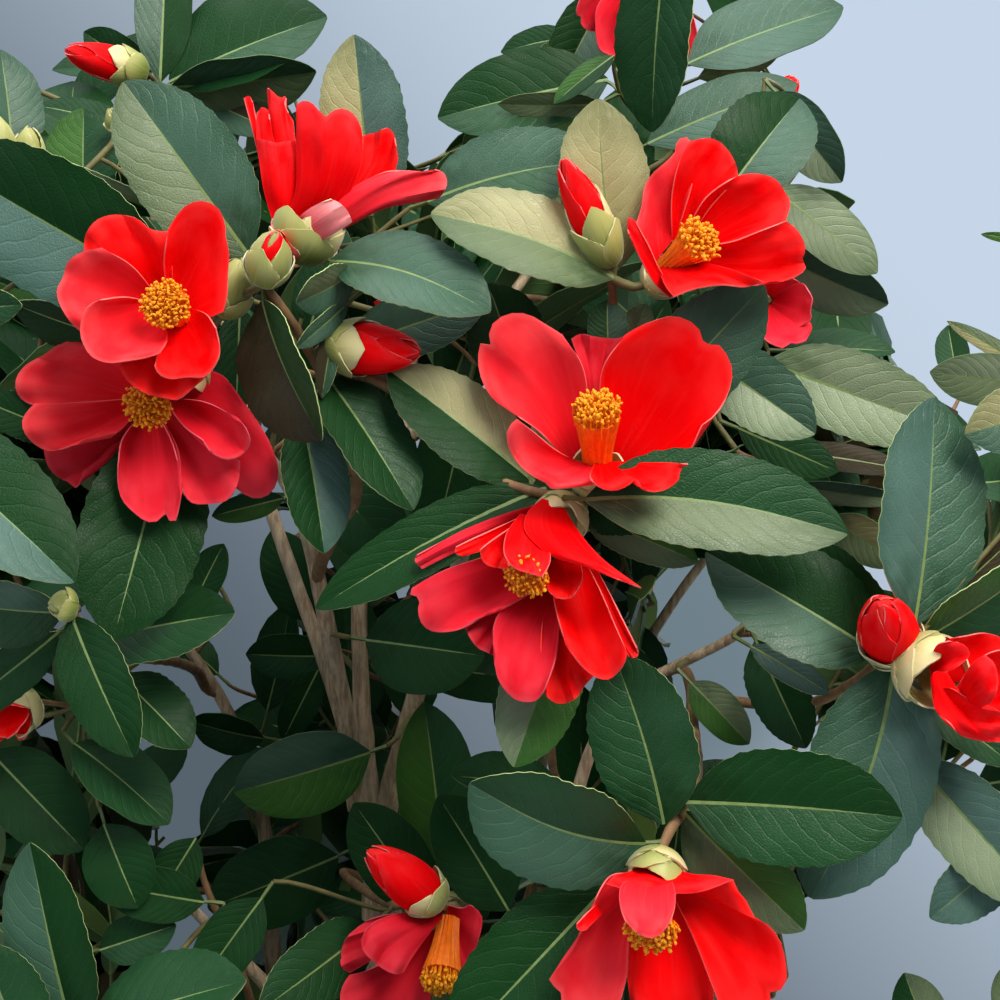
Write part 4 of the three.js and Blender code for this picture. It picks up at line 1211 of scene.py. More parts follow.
patch("scarlet", [(680, 256), (710, 264), (740, 272), (764, 282)], [(745, 287), (725, 285), (705, 287), (688, 291)], [(658, 266), (661, 276), (666, 287), (674, 297)], .604, .578, .004, -.001, seed=135)
patch("scarlet", [(670, 298), (655, 284), (642, 262), (632, 241)], [(627, 226), (629, 217)], [(674, 292), (659, 268), (649, 246), (635, 221)], .598, .584, .001, .0, .0006, face="out", seed=136, grid=(18, 9))
tuft((662, 270, .606), (704, 236, .588), .0060, 150, 9, spread=.42, size=.00112, column=.66)
screen_calyx((653, 285, .614), (676, 264, .607), .78, ("green", "cream"), 10)
# the great open one in the middle; its back petal is in the crimson copy, painted darker for the shade between the
# others, and two front petals are in the rose copy with painted highlight
patch("crimson", [(590, 420), (582, 370), (575, 350), (571, 339)], [(580, 334), (592, 336), (606, 338), (620, 338)], [(606, 420), (609, 375), (618, 350), (629, 333)], .606, .614, .002, .0, seed=141)
patch("lit_rose", [(582, 458), (588, 405), (582, 365), (562, 335)], [(545, 324), (527, 314), (508, 314), (494, 322), (489, 334), (491, 345), (481, 343), (478, 360), (481, 378), (489, 394), (502, 406)], [(568, 462), (552, 444), (538, 430), (518, 416)], .604, .592, .007, .003, seed=142, wave=1.3)
patch("scarlet", [(606, 460), (600, 410), (603, 368), (625, 335)], [(640, 326), (656, 320), (672, 316), (688, 320), (699, 329), (703, 341), (705, 347), (714, 342), (725, 352), (732, 368), (731, 384), (724, 402), (714, 416)], [(636, 470), (665, 468), (686, 456), (702, 425)], .604, .584, .009, .002, seed=143, wave=1.0)
patch("lit_rose", [(578, 462), (556, 450), (535, 433), (517, 419)], [(509, 427), (507, 440), (512, 454), (522, 468), (536, 478), (545, 482), (550, 488), (566, 488), (582, 486)], [(594, 464), (596, 470), (597, 476), (596, 484)], .596, .570, .004, .003, seed=144, wave=1.2)
patch("scarlet", [(596, 462), (592, 468), (590, 476), (593, 482)], [(602, 489), (618, 490), (632, 483), (637, 478), (641, 488), (651, 492), (662, 491), (672, 486), (679, 479), (680, 469)], [(628, 462), (648, 463), (668, 463), (688, 464)], .596, .566, .002, .002, .0026, seed=145, wave=1.6)
tuft((597, 476, .602), (597, 402, .580), .0076, 190, 13, spread=.14, size=.00112, column=.66, flare=.92)
screen_calyx((597, 486, .602), (597, 440, .590), 1.05, ("green", "cream"), 14)
# the one hanging below it; its crimson petals are painted darker for the shade it hangs in
patch("crimson", [(548, 501), (505, 514), (460, 532), (417, 555)], [(415, 561)], [(530, 520), (490, 534), (455, 552), (422, 569)], .600, .588, -.002, .0, .0008, face="out", seed=151, grid=(20, 9))
patch("crimson", [(545, 540), (480, 558), (440, 572), (412, 588)], [(410, 594), (419, 598), (418, 612), (422, 624), (432, 631), (448, 632), (464, 628), (480, 618)], [(550, 578), (532, 592), (512, 604), (496, 612)], .598, .580, .004, .002, seed=152, wave=1.5)
patch("crimson", [(520, 592), (495, 606), (476, 620), (465, 628)], [(470, 638), (478, 648), (488, 653)], [(545, 602), (518, 618), (502, 636), (495, 657)], .597, .586, .002, .0, seed=153, grid=(16, 13))
patch("scarlet", [(560, 560), (586, 592), (605, 625), (626, 654)], [(633, 658), (638, 655)], [(592, 560), (606, 586), (621, 616), (637, 648)], .598, .588, .002, .0, .0008, seed=154)
patch("scarlet", [(548, 592), (542, 625), (541, 660), (543, 690)], [(548, 698), (556, 703), (566, 703), (576, 698), (584, 686), (590, 680)], [(566, 592), (573, 630), (581, 655), (594, 676)], .597, .580, .002, .002, seed=155)
patch("crimson", [(538, 588), (506, 604), (494, 625), (494, 655)], [(497, 676), (504, 689), (515, 699), (526, 702), (537, 700)], [(560, 594), (559, 630), (555, 660), (544, 691)], .596, .576, .003, .002, seed=156, wave=1.4)
patch("scarlet", [(552, 572), (554, 600), (560, 625), (566, 645)], [(575, 658), (588, 672), (600, 679), (610, 679), (620, 670), (626, 660)], [(586, 562), (601, 592), (615, 625), (627, 652)], .596, .572, .004, .001, seed=157, wave=1.3)
patch("scarlet", [(545, 562), (545, 576), (548, 590), (556, 598)], [(565, 599), (573, 596)], [(578, 556), (582, 570), (582, 580), (578, 589)], .592, .573, .002, .0, .0008, seed=158, grid=(14, 11))
patch("scarlet", [(522, 516), (492, 530), (470, 540), (456, 547)], [(455, 553)], [(522, 532), (502, 546), (482, 551), (462, 556)], .594, .580, .001, .0, .0008, seed=159, grid=(16, 9))
patch("scarlet", [(522, 520), (501, 534), (487, 544), (480, 550)], [(482, 560), (489, 566), (498, 568)], [(526, 540), (517, 550), (511, 560), (509, 569)], .592, .574, .002, .001, .0008, seed=160, grid=(16, 11))
patch("scarlet", [(520, 514), (507, 532), (504, 552), (510, 565)], [(518, 570), (528, 573)], [(552, 520), (550, 545), (550, 562), (542, 577)], .590, .568, .003, .0, .0010, seed=161, grid=(18, 13), face="out")
patch("scarlet", [(542, 499), (528, 512), (524, 528), (532, 540), (552, 556), (585, 566), (612, 577)], [(628, 583)], [(562, 504), (576, 528), (600, 557), (641, 588)], .592, .566, -.004, .0, .0010, seed=162, face="out", grid=(24, 15), skew=.002)
tuft((548, 532, .600), (524, 582, .574), .0058, 110, 17, spread=.42, size=.00100, column=.72)
screen_calyx((566, 508, .602), (548, 540, .590), 1.05, ("green", "cream"), 18)
# the one at the foot of the picture; two petals in the rose copy, with painted highlight
patch("scarlet", [(640, 886), (630, 940), (627, 975), (632, 1005)], [(645, 1035), (670, 1050), (700, 1045)], [(684, 886), (702, 930), (713, 975), (713, 1020)], .588, .580, .003, .002, seed=171)
patch("lit_rose", [(642, 874), (612, 875), (600, 890), (590, 915)], [(582, 928), (575, 945), (565, 960), (552, 975), (549, 983), (560, 990), (562, 1002), (570, 1018), (592, 1030)], [(652, 886), (630, 935), (627, 975), (614, 1022)], .588, .574, .004, .003, seed=172, wave=1.5)
patch("scarlet", [(664, 872), (690, 875), (715, 877), (733, 880)], [(740, 895), (750, 905), (752, 918), (765, 923), (775, 932), (782, 945), (786, 965), (786, 982), (778, 992), (768, 993), (772, 1010), (758, 1030)], [(668, 886), (690, 930), (712, 985), (732, 1040)], .588, .570, .006, .003, seed=173, wave=1.3)
patch("scarlet", [(640, 868), (626, 873), (614, 876), (606, 884)], [(625, 889), (650, 887), (672, 893), (700, 892)], [(668, 865), (690, 874), (715, 876), (734, 880)], .585, .571, -.002, .0, .0008, face="out", seed=174, grid=(12, 21))
patch("lit_rose", [(640, 874), (621, 886), (620, 905), (626, 922)], [(636, 932), (650, 938), (662, 933)], [(668, 872), (675, 890), (675, 906), (670, 922)], .582, .553, -.003, .0, .0008, face="out", seed=175)
patch("scarlet", [(596, 905), (588, 912), (582, 918)], [(576, 926), (580, 931)], [(602, 914), (594, 922), (586, 930)], .578, .570, .0, .0, .0004, seed=176, grid=(8, 7), face="out")
tuft((660, 880, .588), (650, 936, .562), .0066, 150, 19, spread=.42, size=.00108, column=.74)
screen_calyx((657, 858, .588), (656, 890, .581), 1.08, ("cream", "green", "cream"), 20, 8)
# the dull one beside it, in shade: all its petals are in the crimson copy, painted darker for that shade
patch("crimson", [(452, 905), (420, 912), (385, 915), (368, 920)], [(355, 930), (345, 940), (341, 955), (342, 968)], [(432, 922), (402, 942), (372, 960), (350, 973)], .668, .664, .002, .002, seed=181)
patch("crimson", [(448, 905), (462, 908), (470, 905), (478, 911)], [(482, 918), (480, 935), (474, 955), (471, 975), (470, 1000)], [(446, 918), (454, 950), (460, 990), (468, 1030)], .668, .662, .005, .002, seed=182)
patch("crimson", [(430, 930), (400, 952), (368, 970), (350, 975)], [(343, 985), (340, 998), (345, 1012), (365, 1025), (395, 1032)], [(442, 930), (436, 960), (432, 990), (427, 1026)], .668, .656, .003, .002, seed=183)
patch("crimson", [(436, 914), (396, 914), (370, 925), (361, 940)], [(364, 952), (374, 962), (385, 970), (395, 974)], [(444, 916), (427, 936), (413, 956), (404, 972)], .666, .648, -.002, .0, seed=184, face="out")
tuft((449, 920, .668), (440, 988, .650), .0070, 130, 23, spread=.12, size=.00125, column=.62, flare=1.15)
screen_calyx((455, 900, .684), (449, 930, .676), .70, ("green", "cream"), 24)
# blooms half hidden further back, in the crimson copy, painted darker for their shade
screen_petals((645, -30, .80), (640, 5, .775), [
    (578, 20, .79, 60, .5, .2, .06, .08), (606, 56, .785, 60, .5, .2, .06, .06), (640, 20, .77, 50, .5, .2, .06, .06), (694, 60, .785, 44, .5, .2, .06, .04), (700, -40, .80, 60), (620, -80, .80, 60)],
    kind="crimson", seed=29, anthers=40, tuft_radius=.006, calyx_size=.9, grid=(12, 11))
screen_petals((768, 300, .70), (785, 305, .68), [
    (792, 346, .678, 60, .5, .2, .06, .06), (812, 312, .684, 50, .5, .2, .06, .06), (790, 276, .69, 50, .5, .2, .06, .04), (762, 340, .69, 50)],
    kind="crimson", seed=31, grid=(12, 11))
# the half-open one at the right edge
patch("scarlet", [(936, 672), (926, 655), (935, 644), (946, 639)], [(965, 636), (985, 633), (1006, 640)], [(952, 684), (985, 672), (1010, 666), (1026, 656)], .592, .584, .004, .0, seed=191, face="in")
patch("scarlet", [(955, 690), (975, 662), (1000, 650), (1022, 656)], [(1034, 680), (1030, 708)], [(955, 706), (972, 716), (992, 722), (1012, 725)], .588, .578, .004, .0, seed=192)
patch("scarlet", [(930, 668), (932, 690), (936, 710), (950, 723)], [(961, 735), (985, 741), (1010, 742), (1028, 736)], [(942, 664), (960, 692), (990, 712), (1034, 722)], .591, .574, -.006, .0, seed=193, face="out")
patch("scarlet", [(936, 690), (950, 688), (966, 697), (986, 705)], [(1000, 712), (1005, 724)], [(940, 712), (960, 729), (980, 736), (1000, 737)], .586, .568, -.003, .0, seed=194, face="out", grid=(16, 13))
patch("scarlet", [(958, 704), (962, 682), (974, 662), (985, 655)], [(994, 663), (998, 680), (996, 694)], [(960, 708), (972, 708), (982, 707), (990, 703)], .584, .563, -.005, .0, .0006, seed=195, face="out", grid=(16, 13))
patch("scarlet", [(930, 668), (932, 655), (937, 645), (949, 641)], [(965, 645), (970, 655), (960, 665)], [(932, 674), (937, 671), (943, 672), (950, 671)], .588, .570, -.002, .0, .0006, seed=196, face="out", grid=(14, 11))
screen_calyx((912, 662, .594), (955, 680, .580), 1.45, ("green", "cream", "green"), 38, 8)
screen_petals((26, 700, .655), (-10, 735, .64), [
    (-4, 700, .64, 46, .6, .05, .05, .04), (4, 738, .645, 50, .6, .05, .05, .04), (-40, 730, .65, 60, .5, .1, .05, .04), (22, 740, .65, 32, .6, .0, .04, .0)],
    seed=41, calyx_size=1.1, calyx_kinds=("cream", "green"), grid=(12, 11))

# buds
screen_bud((148, 74, .775), (64, 50, .765), 17, "red", 1, .46)
screen_bud((4, 186, .625), (-2, 116, .618), 17, "green", 2)
screen_bud((30, 176, .628), (28, 126, .622), 15, "green", 3)
screen_bud((262, 284, .600), (278, 231, .586), 20, "tip", 4)
screen_bud((224, 318, .613), (239, 257, .607), 20, "green", 5)
screen_bud((324, 346, .612), (421, 352, .600), 25, "red", 6, .54)
screen_bud((612, 266, .606), (563, 158, .594), 18, "red", 7, .62)
screen_bud((894, 652, .604), (881, 603, .572), 29, "red", 8, .44)
screen_bud((78, 606, .601), (48, 605, .599), 14, "green", 9)
screen_bud((442, 906, .660), (367, 850, .652), 24, "red", 10, .34)
screen_bud((118, 132, .65), (110, 108, .645), 7, "green", 11)
screen_bud((782, 96, .745), (796, 78, .74), 9, "red", 12)

# leaves nearest the camera: base, tip, right and left half-width, depths, colours; the colour classes of the two halves
# paint light and shade, gold, olive and sage a warm sheen, teal and blue a reflection of the sky, deep the shade
H = screen_leaf
H(250, 257, 124, 82, 56, 55, .608, .609, "teal", "olive", fold=15, arch=.02, twist=.25)
H(168, 292, -62, 158, 60, 68, .612, .606, "deep", "blue", fold=20, arch=.03)
H(172, 216, 34, 158, 12, 14, .622, .620, "sage", "deep", fold=12)
H(84, 206, 84, 108, 33, 38, .655, .660, "mid", "fresh", fold=14)
H(124, 128, 38, 106, 18, 9, .685, .690, "deep", fold=14)
H(12, 156, 0, 50, 36, 28, .640, .648, "teal", "teal", fold=14)
H(152, 78, 84, 32, 20, 22, .80, .80, "deep", "mid", fold=12, lod=2)
H(160, 82, 167, -72, 28, 28, .79, .80, "deep", "teal", fold=12, lod=2)
H(170, 82, 327, 17, 26, 60, .79, .79, "mid", "deep", fold=16, lod=2)
H(172, 86, 316, 71, 38, 20, .782, .785, "olive", "teal", fold=16, lod=2)
H(180, 90, 276, 132, 20, 22, .80, .79, "teal", "bronze", fold=12, lod=2)
H(372, 216, 354, 35, 43, 42, .628, .618, "blue", "gold", fold=16, arch=.02)
H(428, 202, 600, 160, 30, 47, .628, .618, "mid", "teal", fold=18, bend=-.03)
H(613, 278, 431, 214, 47, 29, .606, .594, "gold", "olive", fold=18, arch=.05, bend=.02)
H(330, 262, 490, 312, 28, 44, .602, .586, "teal", "teal", fold=16, arch=.05, bend=-.05)
H(608, 80, 438, 118, 46, 32, .765, .760, "deep", "mid", fold=18, lod=2)
H(614, 56, 554, 104, 13, 8, .745, .740, "fresh", "deep", fold=22, lod=2)
H(602, 104, 498, 104, 12, 15, .752, .752, "olive", "olive", fold=14, lod=2)
H(617, 270, 598, 99, 47, 42, .616, .606, "gold", "gold", fold=16, arch=.03, bend=-.03)
H(668, -60, 652, 132, 44, 29, .700, .716, "deep", "mid", fold=16)
H(688, 64, 843, 7, 24, 42, .765, .762, "teal", "teal", fold=14, lod=2)
H(648, 144, 797, 84, 24, 34, .738, .735, "teal", "teal", fold=14, lod=2)
H(698, 78, 780, 52, 14, 14, .775, .775, "gold", "gold", fold=10, lod=2)
H(722, 200, 799, 99, 42, 48, .612, .626, "teal", "deep", fold=22, arch=.06)
H(776, 92, 842, 182, 30, 24, .685, .680, "sage", "teal", fold=16, lod=2)
H(772, 188, 877, 273, 26, 30, .692, .690, "olive", "sage", fold=12, lod=2)
H(772, 252, 888, 304, 34, 22, .712, .708, "sage", "teal", fold=18, lod=2)
H(786, 350, 895, 352, 8, 22, .725, .722, "mid", "mid", fold=14, lod=2)
H(622, 436, 764, 285, 49, 47, .618, .604, "teal", "teal", fold=16, arch=.03)
H(696, 352, 815, 434, 34, 38, .628, .618, "sage", "teal", fold=18, arch=.03)
H(766, 362, 950, 432, 40, 42, .664, .655, "sage", "sage", fold=18, arch=.03)
H(780, 452, 908, 470, 12, 16, .694, .690, "bronze", "bronze", fold=14, lod=2)
H(792, 486, 905, 500, 12, 10, .705, .702, "sage", "teal", fold=14, lod=2)
H(828, 518, 905, 562, 24, 20, .714, .710, "olive", "gold", fold=14, lod=2)
H(914, 624, 934, 398, 60, 41, .590, .602, "teal", "blue", fold=13, arch=.03)
H(1085, 398, 965, 434, 36, 38, .598, .590, "gold", "teal", fold=16, arch=.04)
H(1045, 385, 930, 372, 25, 28, .725, .720, "sage", "olive", fold=14, lod=2)
H(1042, 374, 947, 321, 9, 9, .735, .730, "sage", "gold", fold=10, lod=2)
H(1030, 242, 981, 234, 5, 5, .74, .74, "fresh", fold=10, lod=2)
H(878, 654, 706, 552, 60, 44, .601, .606, "deep", "teal", fold=18, arch=.02)
H(888, 642, 800, 540, 30, 30, .612, .618, "deep", fold=16)
H(920, 640, 1048, 556, 36, 18, .598, .590, "mid", "fresh", fold=16)
H(932, 614, 1014, 538, 14, 14, .606, .602, "bronze", fold=14)
H(586, 500, 847, 534, 43, 53, .586, .584, "olive", "mid", fold=18, arch=.035, bend=-.045)
H(582, 514, 698, 562, 22, 24, .604, .600, "olive", "fresh", fold=14)
H(588, 502, 652, 546, 20, 18, .600, .602, "deep", fold=14)
H(546, 488, 316, 609, 33, 27, .604, .594, "deep", "deep", fold=18, arch=.04, bend=.015)
H(534, 482, 388, 370, 44, 34, .608, .606, "gold", "deep", fold=16, arch=.02)
H(324, 374, 413, 510, 27, 40, .614, .600, "deep", "mid", fold=16, arch=.03)
H(263, 300, 322, 440, 54, 15, .602, .592, "bronze", "mid", fold=22, arch=.05, limit=50)
H(352, 272, 296, 303, 15, 26, .602, .592, "olive", "teal", fold=20, arch=.06)
H(348, 302, 296, 348, 8, 12, .604, .596, "teal", "teal", fold=20)
H(337, 316, 322, 398, 12, 10, .606, .602, "bronze", "teal", fold=16)
H(302, 418, 324, 553, 28, 36, .618, .608, "deep", "blue", fold=16, arch=.03)
H(-112, 418, 74, 582, 47, 62, .600, .584, "blue", "deep", fold=18, arch=.03)
H(168, 436, 113, 640, 60, 60, .634, .610, "deep", "deep", fold=14, arch=.02)
H(92, 642, 235, 613, 30, 42, .640, .628, "mid", "deep", fold=16)
H(192, 610, 224, 544, 16, 20, .645, .645, "deep", fold=14, lod=2)
H(72, 616, 134, 757, 36, 29, .604, .594, "deep", "deep", fold=18, arch=.04)
H(64, 612, -72, 598, 22, 42, .612, .606, "teal", "mid", fold=16)
H(58, 632, -60, 722, 22, 28, .632, .626, "mid", "mid", fold=14)
H(645, 843, 470, 783, 42, 60, .586, .576, "mid", "teal", fold=18, arch=.03, bend=-.07)
H(664, 824, 614, 654, 48, 54, .594, .600, "mid", "mid", fold=14, arch=.02, bend=.03)
H(562, 622, 514, 767, 37, 40, .608, .596, "sage", "fresh", fold=20, arch=.02)
H(606, 888, 452, 1052, 54, 54, .602, .592, "deep", "deep", fold=14, arch=.03)
H(686, 802, 902, 817, 58, 54, .590, .578, "mid", "deep", fold=16, arch=.03, bend=-.015)
H(894, 660, 811, 898, 60, 64, .600, .602, "teal", "blue", fold=14, arch=.03, bend=-.05)
H(684, 812, 804, 930, 42, 36, .600, .592, "olive", "fresh", fold=14, arch=.03)
H(680, 806, 670, 884, 20, 22, .608, .606, "deep", fold=14)
H(912, 758, 1048, 908, 42, 40, .610, .600, "sage", "blue", fold=16)
H(1024, 836, 930, 918, 26, 34, .614, .606, "blue", "blue", fold=14)
H(902, 684, 1014, 766, 20, 24, .618, .612, "mid", "mid", fold=14)
H(76, 1044, 30, 843, 34, 44, .612, .604, "deep", "teal", fold=18, arch=.03)
H(28, 1066, -18, 942, 40, 44, .604, .598, "mid", "blue", fold=16)
H(88, 1034, 246, 981, 32, 52, .606, .594, "mid", "mid", fold=18, arch=.04)
H(370, 752, 234, 792, 36, 44, .724, .720, "teal", "fresh", fold=14, lod=2)
H(74, 744, 169, 824, 24, 38, .668, .664, "mid", "mid", fold=14, lod=2)
H(316, 622, 272, 530, 28, 30, .80, .80, "deep", fold=12, lod=2)
H(328, 656, 246, 654, 21, 24, .79, .79, "deep", "mid", fold=12, lod=2)
H(318, 670, 283, 740, 18, 18, .79, .79, "deep", fold=12, lod=2)
H(264, 738, 191, 721, 14, 24, .78, .78, "deep", "mid", fold=12, lod=2)
H(366, 640, 484, 656, 46, 48, .715, .705, "deep", "deep", fold=14, lod=2)
H(442, 866, 424, 702, 42, 36, .735, .725, "mid", "fresh", fold=14, lod=2)
H(428, 906, 354, 803, 34, 36, .705, .700, "deep", "deep", fold=14, lod=2)
H(564, 794, 452, 776, 32, 14, .660, .650, "deep", "deep", fold=14, lod=2)
H(508, 910, 438, 796, 40, 36, .676, .672, "deep", "deep", fold=14, lod=2)
H(372, 926, 258, 1012, 32, 36, .684, .640, "mid", "deep", fold=14)
H(338, 856, 208, 908, 40, 44, .770, .765, "mid", "deep", fold=14, lod=2)
H(104, 824, 138, 908, 36, 32, .668, .664, "deep", fold=12, lod=2)
H(118, 676, 190, 748, 26, 34, .648, .642, "deep", "deep", fold=14)
H(-10, 752, 84, 850, 40, 40, .676, .670, "deep", "deep", fold=14, lod=2)
H(690, 682, 749, 744, 20, 22, .690, .686, "fresh", "olive", fold=12, lod=2)
H(756, 640, 806, 748, 30, 28, .672, .668, "mid", "deep", fold=12)
H(750, 646, 830, 694, 14, 16, .652, .648, "blue", "blue", fold=12)
H(934, 1054, 904, 973, 28, 26, .705, .700, "olive", "deep", fold=12, lod=2)
H(1032, 1044, 1000, 970, 22, 22, .705, .700, "olive", fold=12, lod=2)
H(-52, 310, 22, 305, 20, 20, .602, .590, "mid", "mid", fold=14)
H(70, 436, -24, 398, 22, 22, .632, .628, "deep", "deep", fold=12)
H(134, 342, 12, 303, 14, 28, .624, .616, "deep", "deep", fold=12)
H(346, 350, 488, 300, 30, 34, .634, .626, "teal", "teal", fold=12)
H(522, 384, 488, 284, 40, 38, .634, .632, "deep", "mid", fold=12)
H(608, 352, 607, 300, 20, 20, .618, .616, "teal", "mid", fold=14)
H(628, 350, 646, 304, 16, 16, .622, .62, "olive", "olive", fold=14)
H(240, 306, 236, 414, 22, 22, .668, .662, "deep", "deep", fold=12, lod=2)
H(284, 498, 212, 516, 14, 14, .640, .640, "deep", "fresh", fold=12, lod=2)
H(738, 428, 838, 472, 22, 22, .648, .644, "deep", "mid", fold=12)
H(600, 420, 668, 300, 24, 26, .66, .655, "deep", fold=12, lod=2)
H(204, 902, 102, 884, 26, 28, .672, .668, "deep", fold=12, lod=2)
H(262, 898, 196, 990, 30, 28, .674, .670, "deep", fold=12, lod=2)
H(196, 838, 150, 912, 24, 24, .682, .678, "deep", fold=12, lod=2)
H(100, 950, 176, 925, 24, 24, .676, .672, "mid", "deep", fold=12, lod=2)

hero = np.concatenate([h.reshape(-1, 3) for h in hero_pts])
CELL = 8
hx, hy, hd = seen_at(hero)
ok = (hx > -60) & (hx < 1060) & (hy > -60) & (hy < 1060)
grid_n = int(1120 / CELL) + 1
front = np.full((grid_n, grid_n), -1.0)
gx, gy = ((hx[ok] + 60) / CELL).astype(int), ((hy[ok] + 60) / CELL).astype(int)
np.maximum.at(front, (gy, gx), hd[ok])
pad = np.pad(front, 1, constant_values=-1.0)
front = np.max([pad[1 + i:1 + i + grid_n, 1 + j:1 + j + grid_n] for i in (-1, 0, 1) for j in (-1, 0, 1)], axis=0)
pad = np.pad(front > 0, 1, constant_values=True)
covered = np.min([pad[1 + i:1 + i + grid_n, 1 + j:1 + j + grid_n] for i in (-1, 0, 1) for j in (-1, 0, 1)], axis=0)

OPEN = [  # gaps between the leaves, as outlines on the screen
    [(-80, -80), (138, -80), (138, 0), (136, 30), (112, 22), (92, 34), (60, 46), (46, 78), (90, 94), (62, 92), (44, 92), (38, 74), (-80, 20)],
    [(192, -60), (225, -60), (225, 0), (178, 74), (166, 80), (186, 40)],
    [(330, -80), (575, -80), (575, 28), (540, 28), (500, 37), (470, 60), (440, 115), (505, 120), (450, 140), (425, 165), (408, 160), (408, 110), (400, 75), (355, 36), (330, 55), (322, 90), (322, 108), (300, 100), (288, 92), (316, 72), (300, 50), (326, 20)],
    [(540, 104), (560, 104), (574, 130), (545, 124)],
    [(842, -80), (1080, -80), (1080, 350), (950, 316), (925, 372), (962, 414), (940, 400), (905, 375), (888, 352), (880, 316), (868, 290), (878, 274), (872, 235), (852, 195), (842, 180), (849, 150), (837, 118), (802, 92), (796, 74), (780, 54), (805, 48), (836, 30)],
    [(424, 432), (445, 444), (492, 486), (470, 482), (434, 490), (424, 460)],
    [(218, 503), (272, 526), (262, 560), (262, 596), (276, 622), (250, 640), (244, 662), (255, 680), (240, 690), (206, 650), (234, 615), (240, 590), (236, 550)],
    [(180, 690), (196, 670), (242, 700), (236, 712), (194, 722), (215, 745), (250, 752), (236, 766), (202, 800), (194, 848), (166, 836), (172, 790), (192, 748), (178, 720)],
    [(262, 692), (280, 672), (292, 674), (276, 704)],
    [(434, 716), (472, 690), (482, 690), (502, 746), (470, 772), (452, 750)],
    [(550, 736), (578, 750), (582, 780), (548, 772)],
    [(668, 566), (706, 560), (716, 592), (752, 640), (757, 692), (690, 682), (664, 645), (656, 640)],
    [(692, 720), (716, 720), (748, 746), (742, 753), (704, 766)],
    [(812, 900), (850, 892), (882, 874), (918, 822), (950, 856), (936, 918), (1000, 922), (1080, 930), (1080, 1080), (955, 1080), (955, 1000), (935, 984), (905, 974), (888, 1000), (888, 1080), (775, 1080), (788, 975), (782, 940), (762, 918), (795, 930), (806, 922)],
    [(985, 748), (1010, 748), (1010, 776), (985, 770)],
    [(914, 632), (944, 606), (950, 612), (922, 640)],
    [(162, 902), (190, 898), (244, 930), (252, 942), (166, 948)],
    [(846, 536), (896, 556), (898, 600), (872, 582)],
]


def inside(poly, x, y):
    hit = np.zeros(np.shape(x), bool)
    n = len(poly)
    for i in range(n):
        (x1, y1), (x2, y2) = poly[i], poly[(i + 1) % n]
        if y1 == y2:
            continue
        cut = ((y1 > y) != (y2 > y)) & (x < (x2 - x1) * (y - y1) / (y2 - y1) + x1)
        hit ^= cut
    return hit


def room_for(points, wood=False, slack=0.0):
    """False if a leaf or bloom over these places would stand before what the camera sees nearest, or close a gap."""
    x, y, d = seen_at(points)
    inframe = (x > -40) & (x < 1040) & (y > -40) & (y < 1040) & (d > 0)
    if not inframe.any():
        return True
    x, y, d = x[inframe], y[inframe], d[inframe]
    if (d < (0.625 if wood else 0.648)).any():
        return False
    g = front[((y + 60) / CELL).astype(int), ((x + 60) / CELL).astype(int)]
    if (d < g + 0.006).any():
        return False
    seen_open = np.zeros(len(x), bool)
    for poly in OPEN:
        seen_open |= inside(poly, x, y)
    return seen_open.sum() <= (0 if wood else slack * len(x))


cell_y, cell_x = np.mgrid[0:grid_n, 0:grid_n] * CELL - 60.0 + CELL / 2
gap_cells = np.zeros((grid_n, grid_n), bool)
for poly in OPEN:
    gap_cells |= inside(poly, cell_x, cell_y)
in_view = (cell_x > -12) & (cell_x < 1012) & (cell_y > -12) & (cell_y < 1012)


def cells_of(B, T, n, hw):
    """The cells of the screen that a blade hides."""
    a = unit(T - B)
    s = cross(a, unit(n - a * (n @ a)))
    t = np.linspace(0.04, 0.97, 26)
    w = outline(t) * hw
    P = (B + (T - B) * t[:, None])[:, None, :] + s * (w[:, None] * np.linspace(-0.92, 0.92, 11)[None, :])[..., None]
    x, y, d = seen_at(P.reshape(-1, 3))
    ok = (x > -60) & (x < 1060) & (y > -60) & (y < 1060) & (d > 0)
    hit = np.zeros((grid_n, grid_n), bool)
    hit[((y[ok] + 60) / CELL).astype(int), ((x[ok] + 60) / CELL).astype(int)] = True
    return hit


# ---------------------------------------------------------------- the branching rule that fills each mass
def tree_of(name):
    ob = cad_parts[name]
    me = ob.data
    co = np.empty(len(me.vertices) * 3, np.float32)
    me.vertices.foreach_get("co", co)
    co = co.reshape(-1, 3).astype(float)
    M = np.array(ob.matrix_world)
    co = co @ M[:3, :3].T + M[:3, 3]
    return BVHTree.FromPolygons([Vector(c) for c in co], [tuple(p.vertices) for p in me.polygons]), co


TREES = {m: tree_of(m) for m in masses}
CENTRE = {m: (TREES[m][1].min(0) + TREES[m][1].max(0)) / 2 for m in masses}
BOX_LO, BOX_HI = np.array(CAD_BOX[0]), np.array(CAD_BOX[1])


def reach(m, d):
    hit = TREES[m][0].ray_cast(Vector(CENTRE[m]), Vector(d))
    return hit[3] if hit[0] is not None else 0.05


def within(m, p):
    d = p - CENTRE[m]
    k = np.linalg.norm(d)
    return k < 1e-6 or k < reach(m, d / k)


# the classes dealt out at random to the filling shoots; gold, olive, sage, teal and blue among them are painted sheen
# and sky reflection
CLASSES = ["deep", "mid", "teal", "olive", "fresh", "blue", "gold", "bronze", "sage"]
WEIGHT = np.array([0.30, 0.30, 0.12, 0.09, 0.06, 0.04, 0.03, 0.025, 0.035])
WEIGHT = WEIGHT / WEIGHT.sum()
GO = np.random.default_rng(2024)
RISE = np.array([0.0, 0.0, 1.0])
filled = skipped = 0


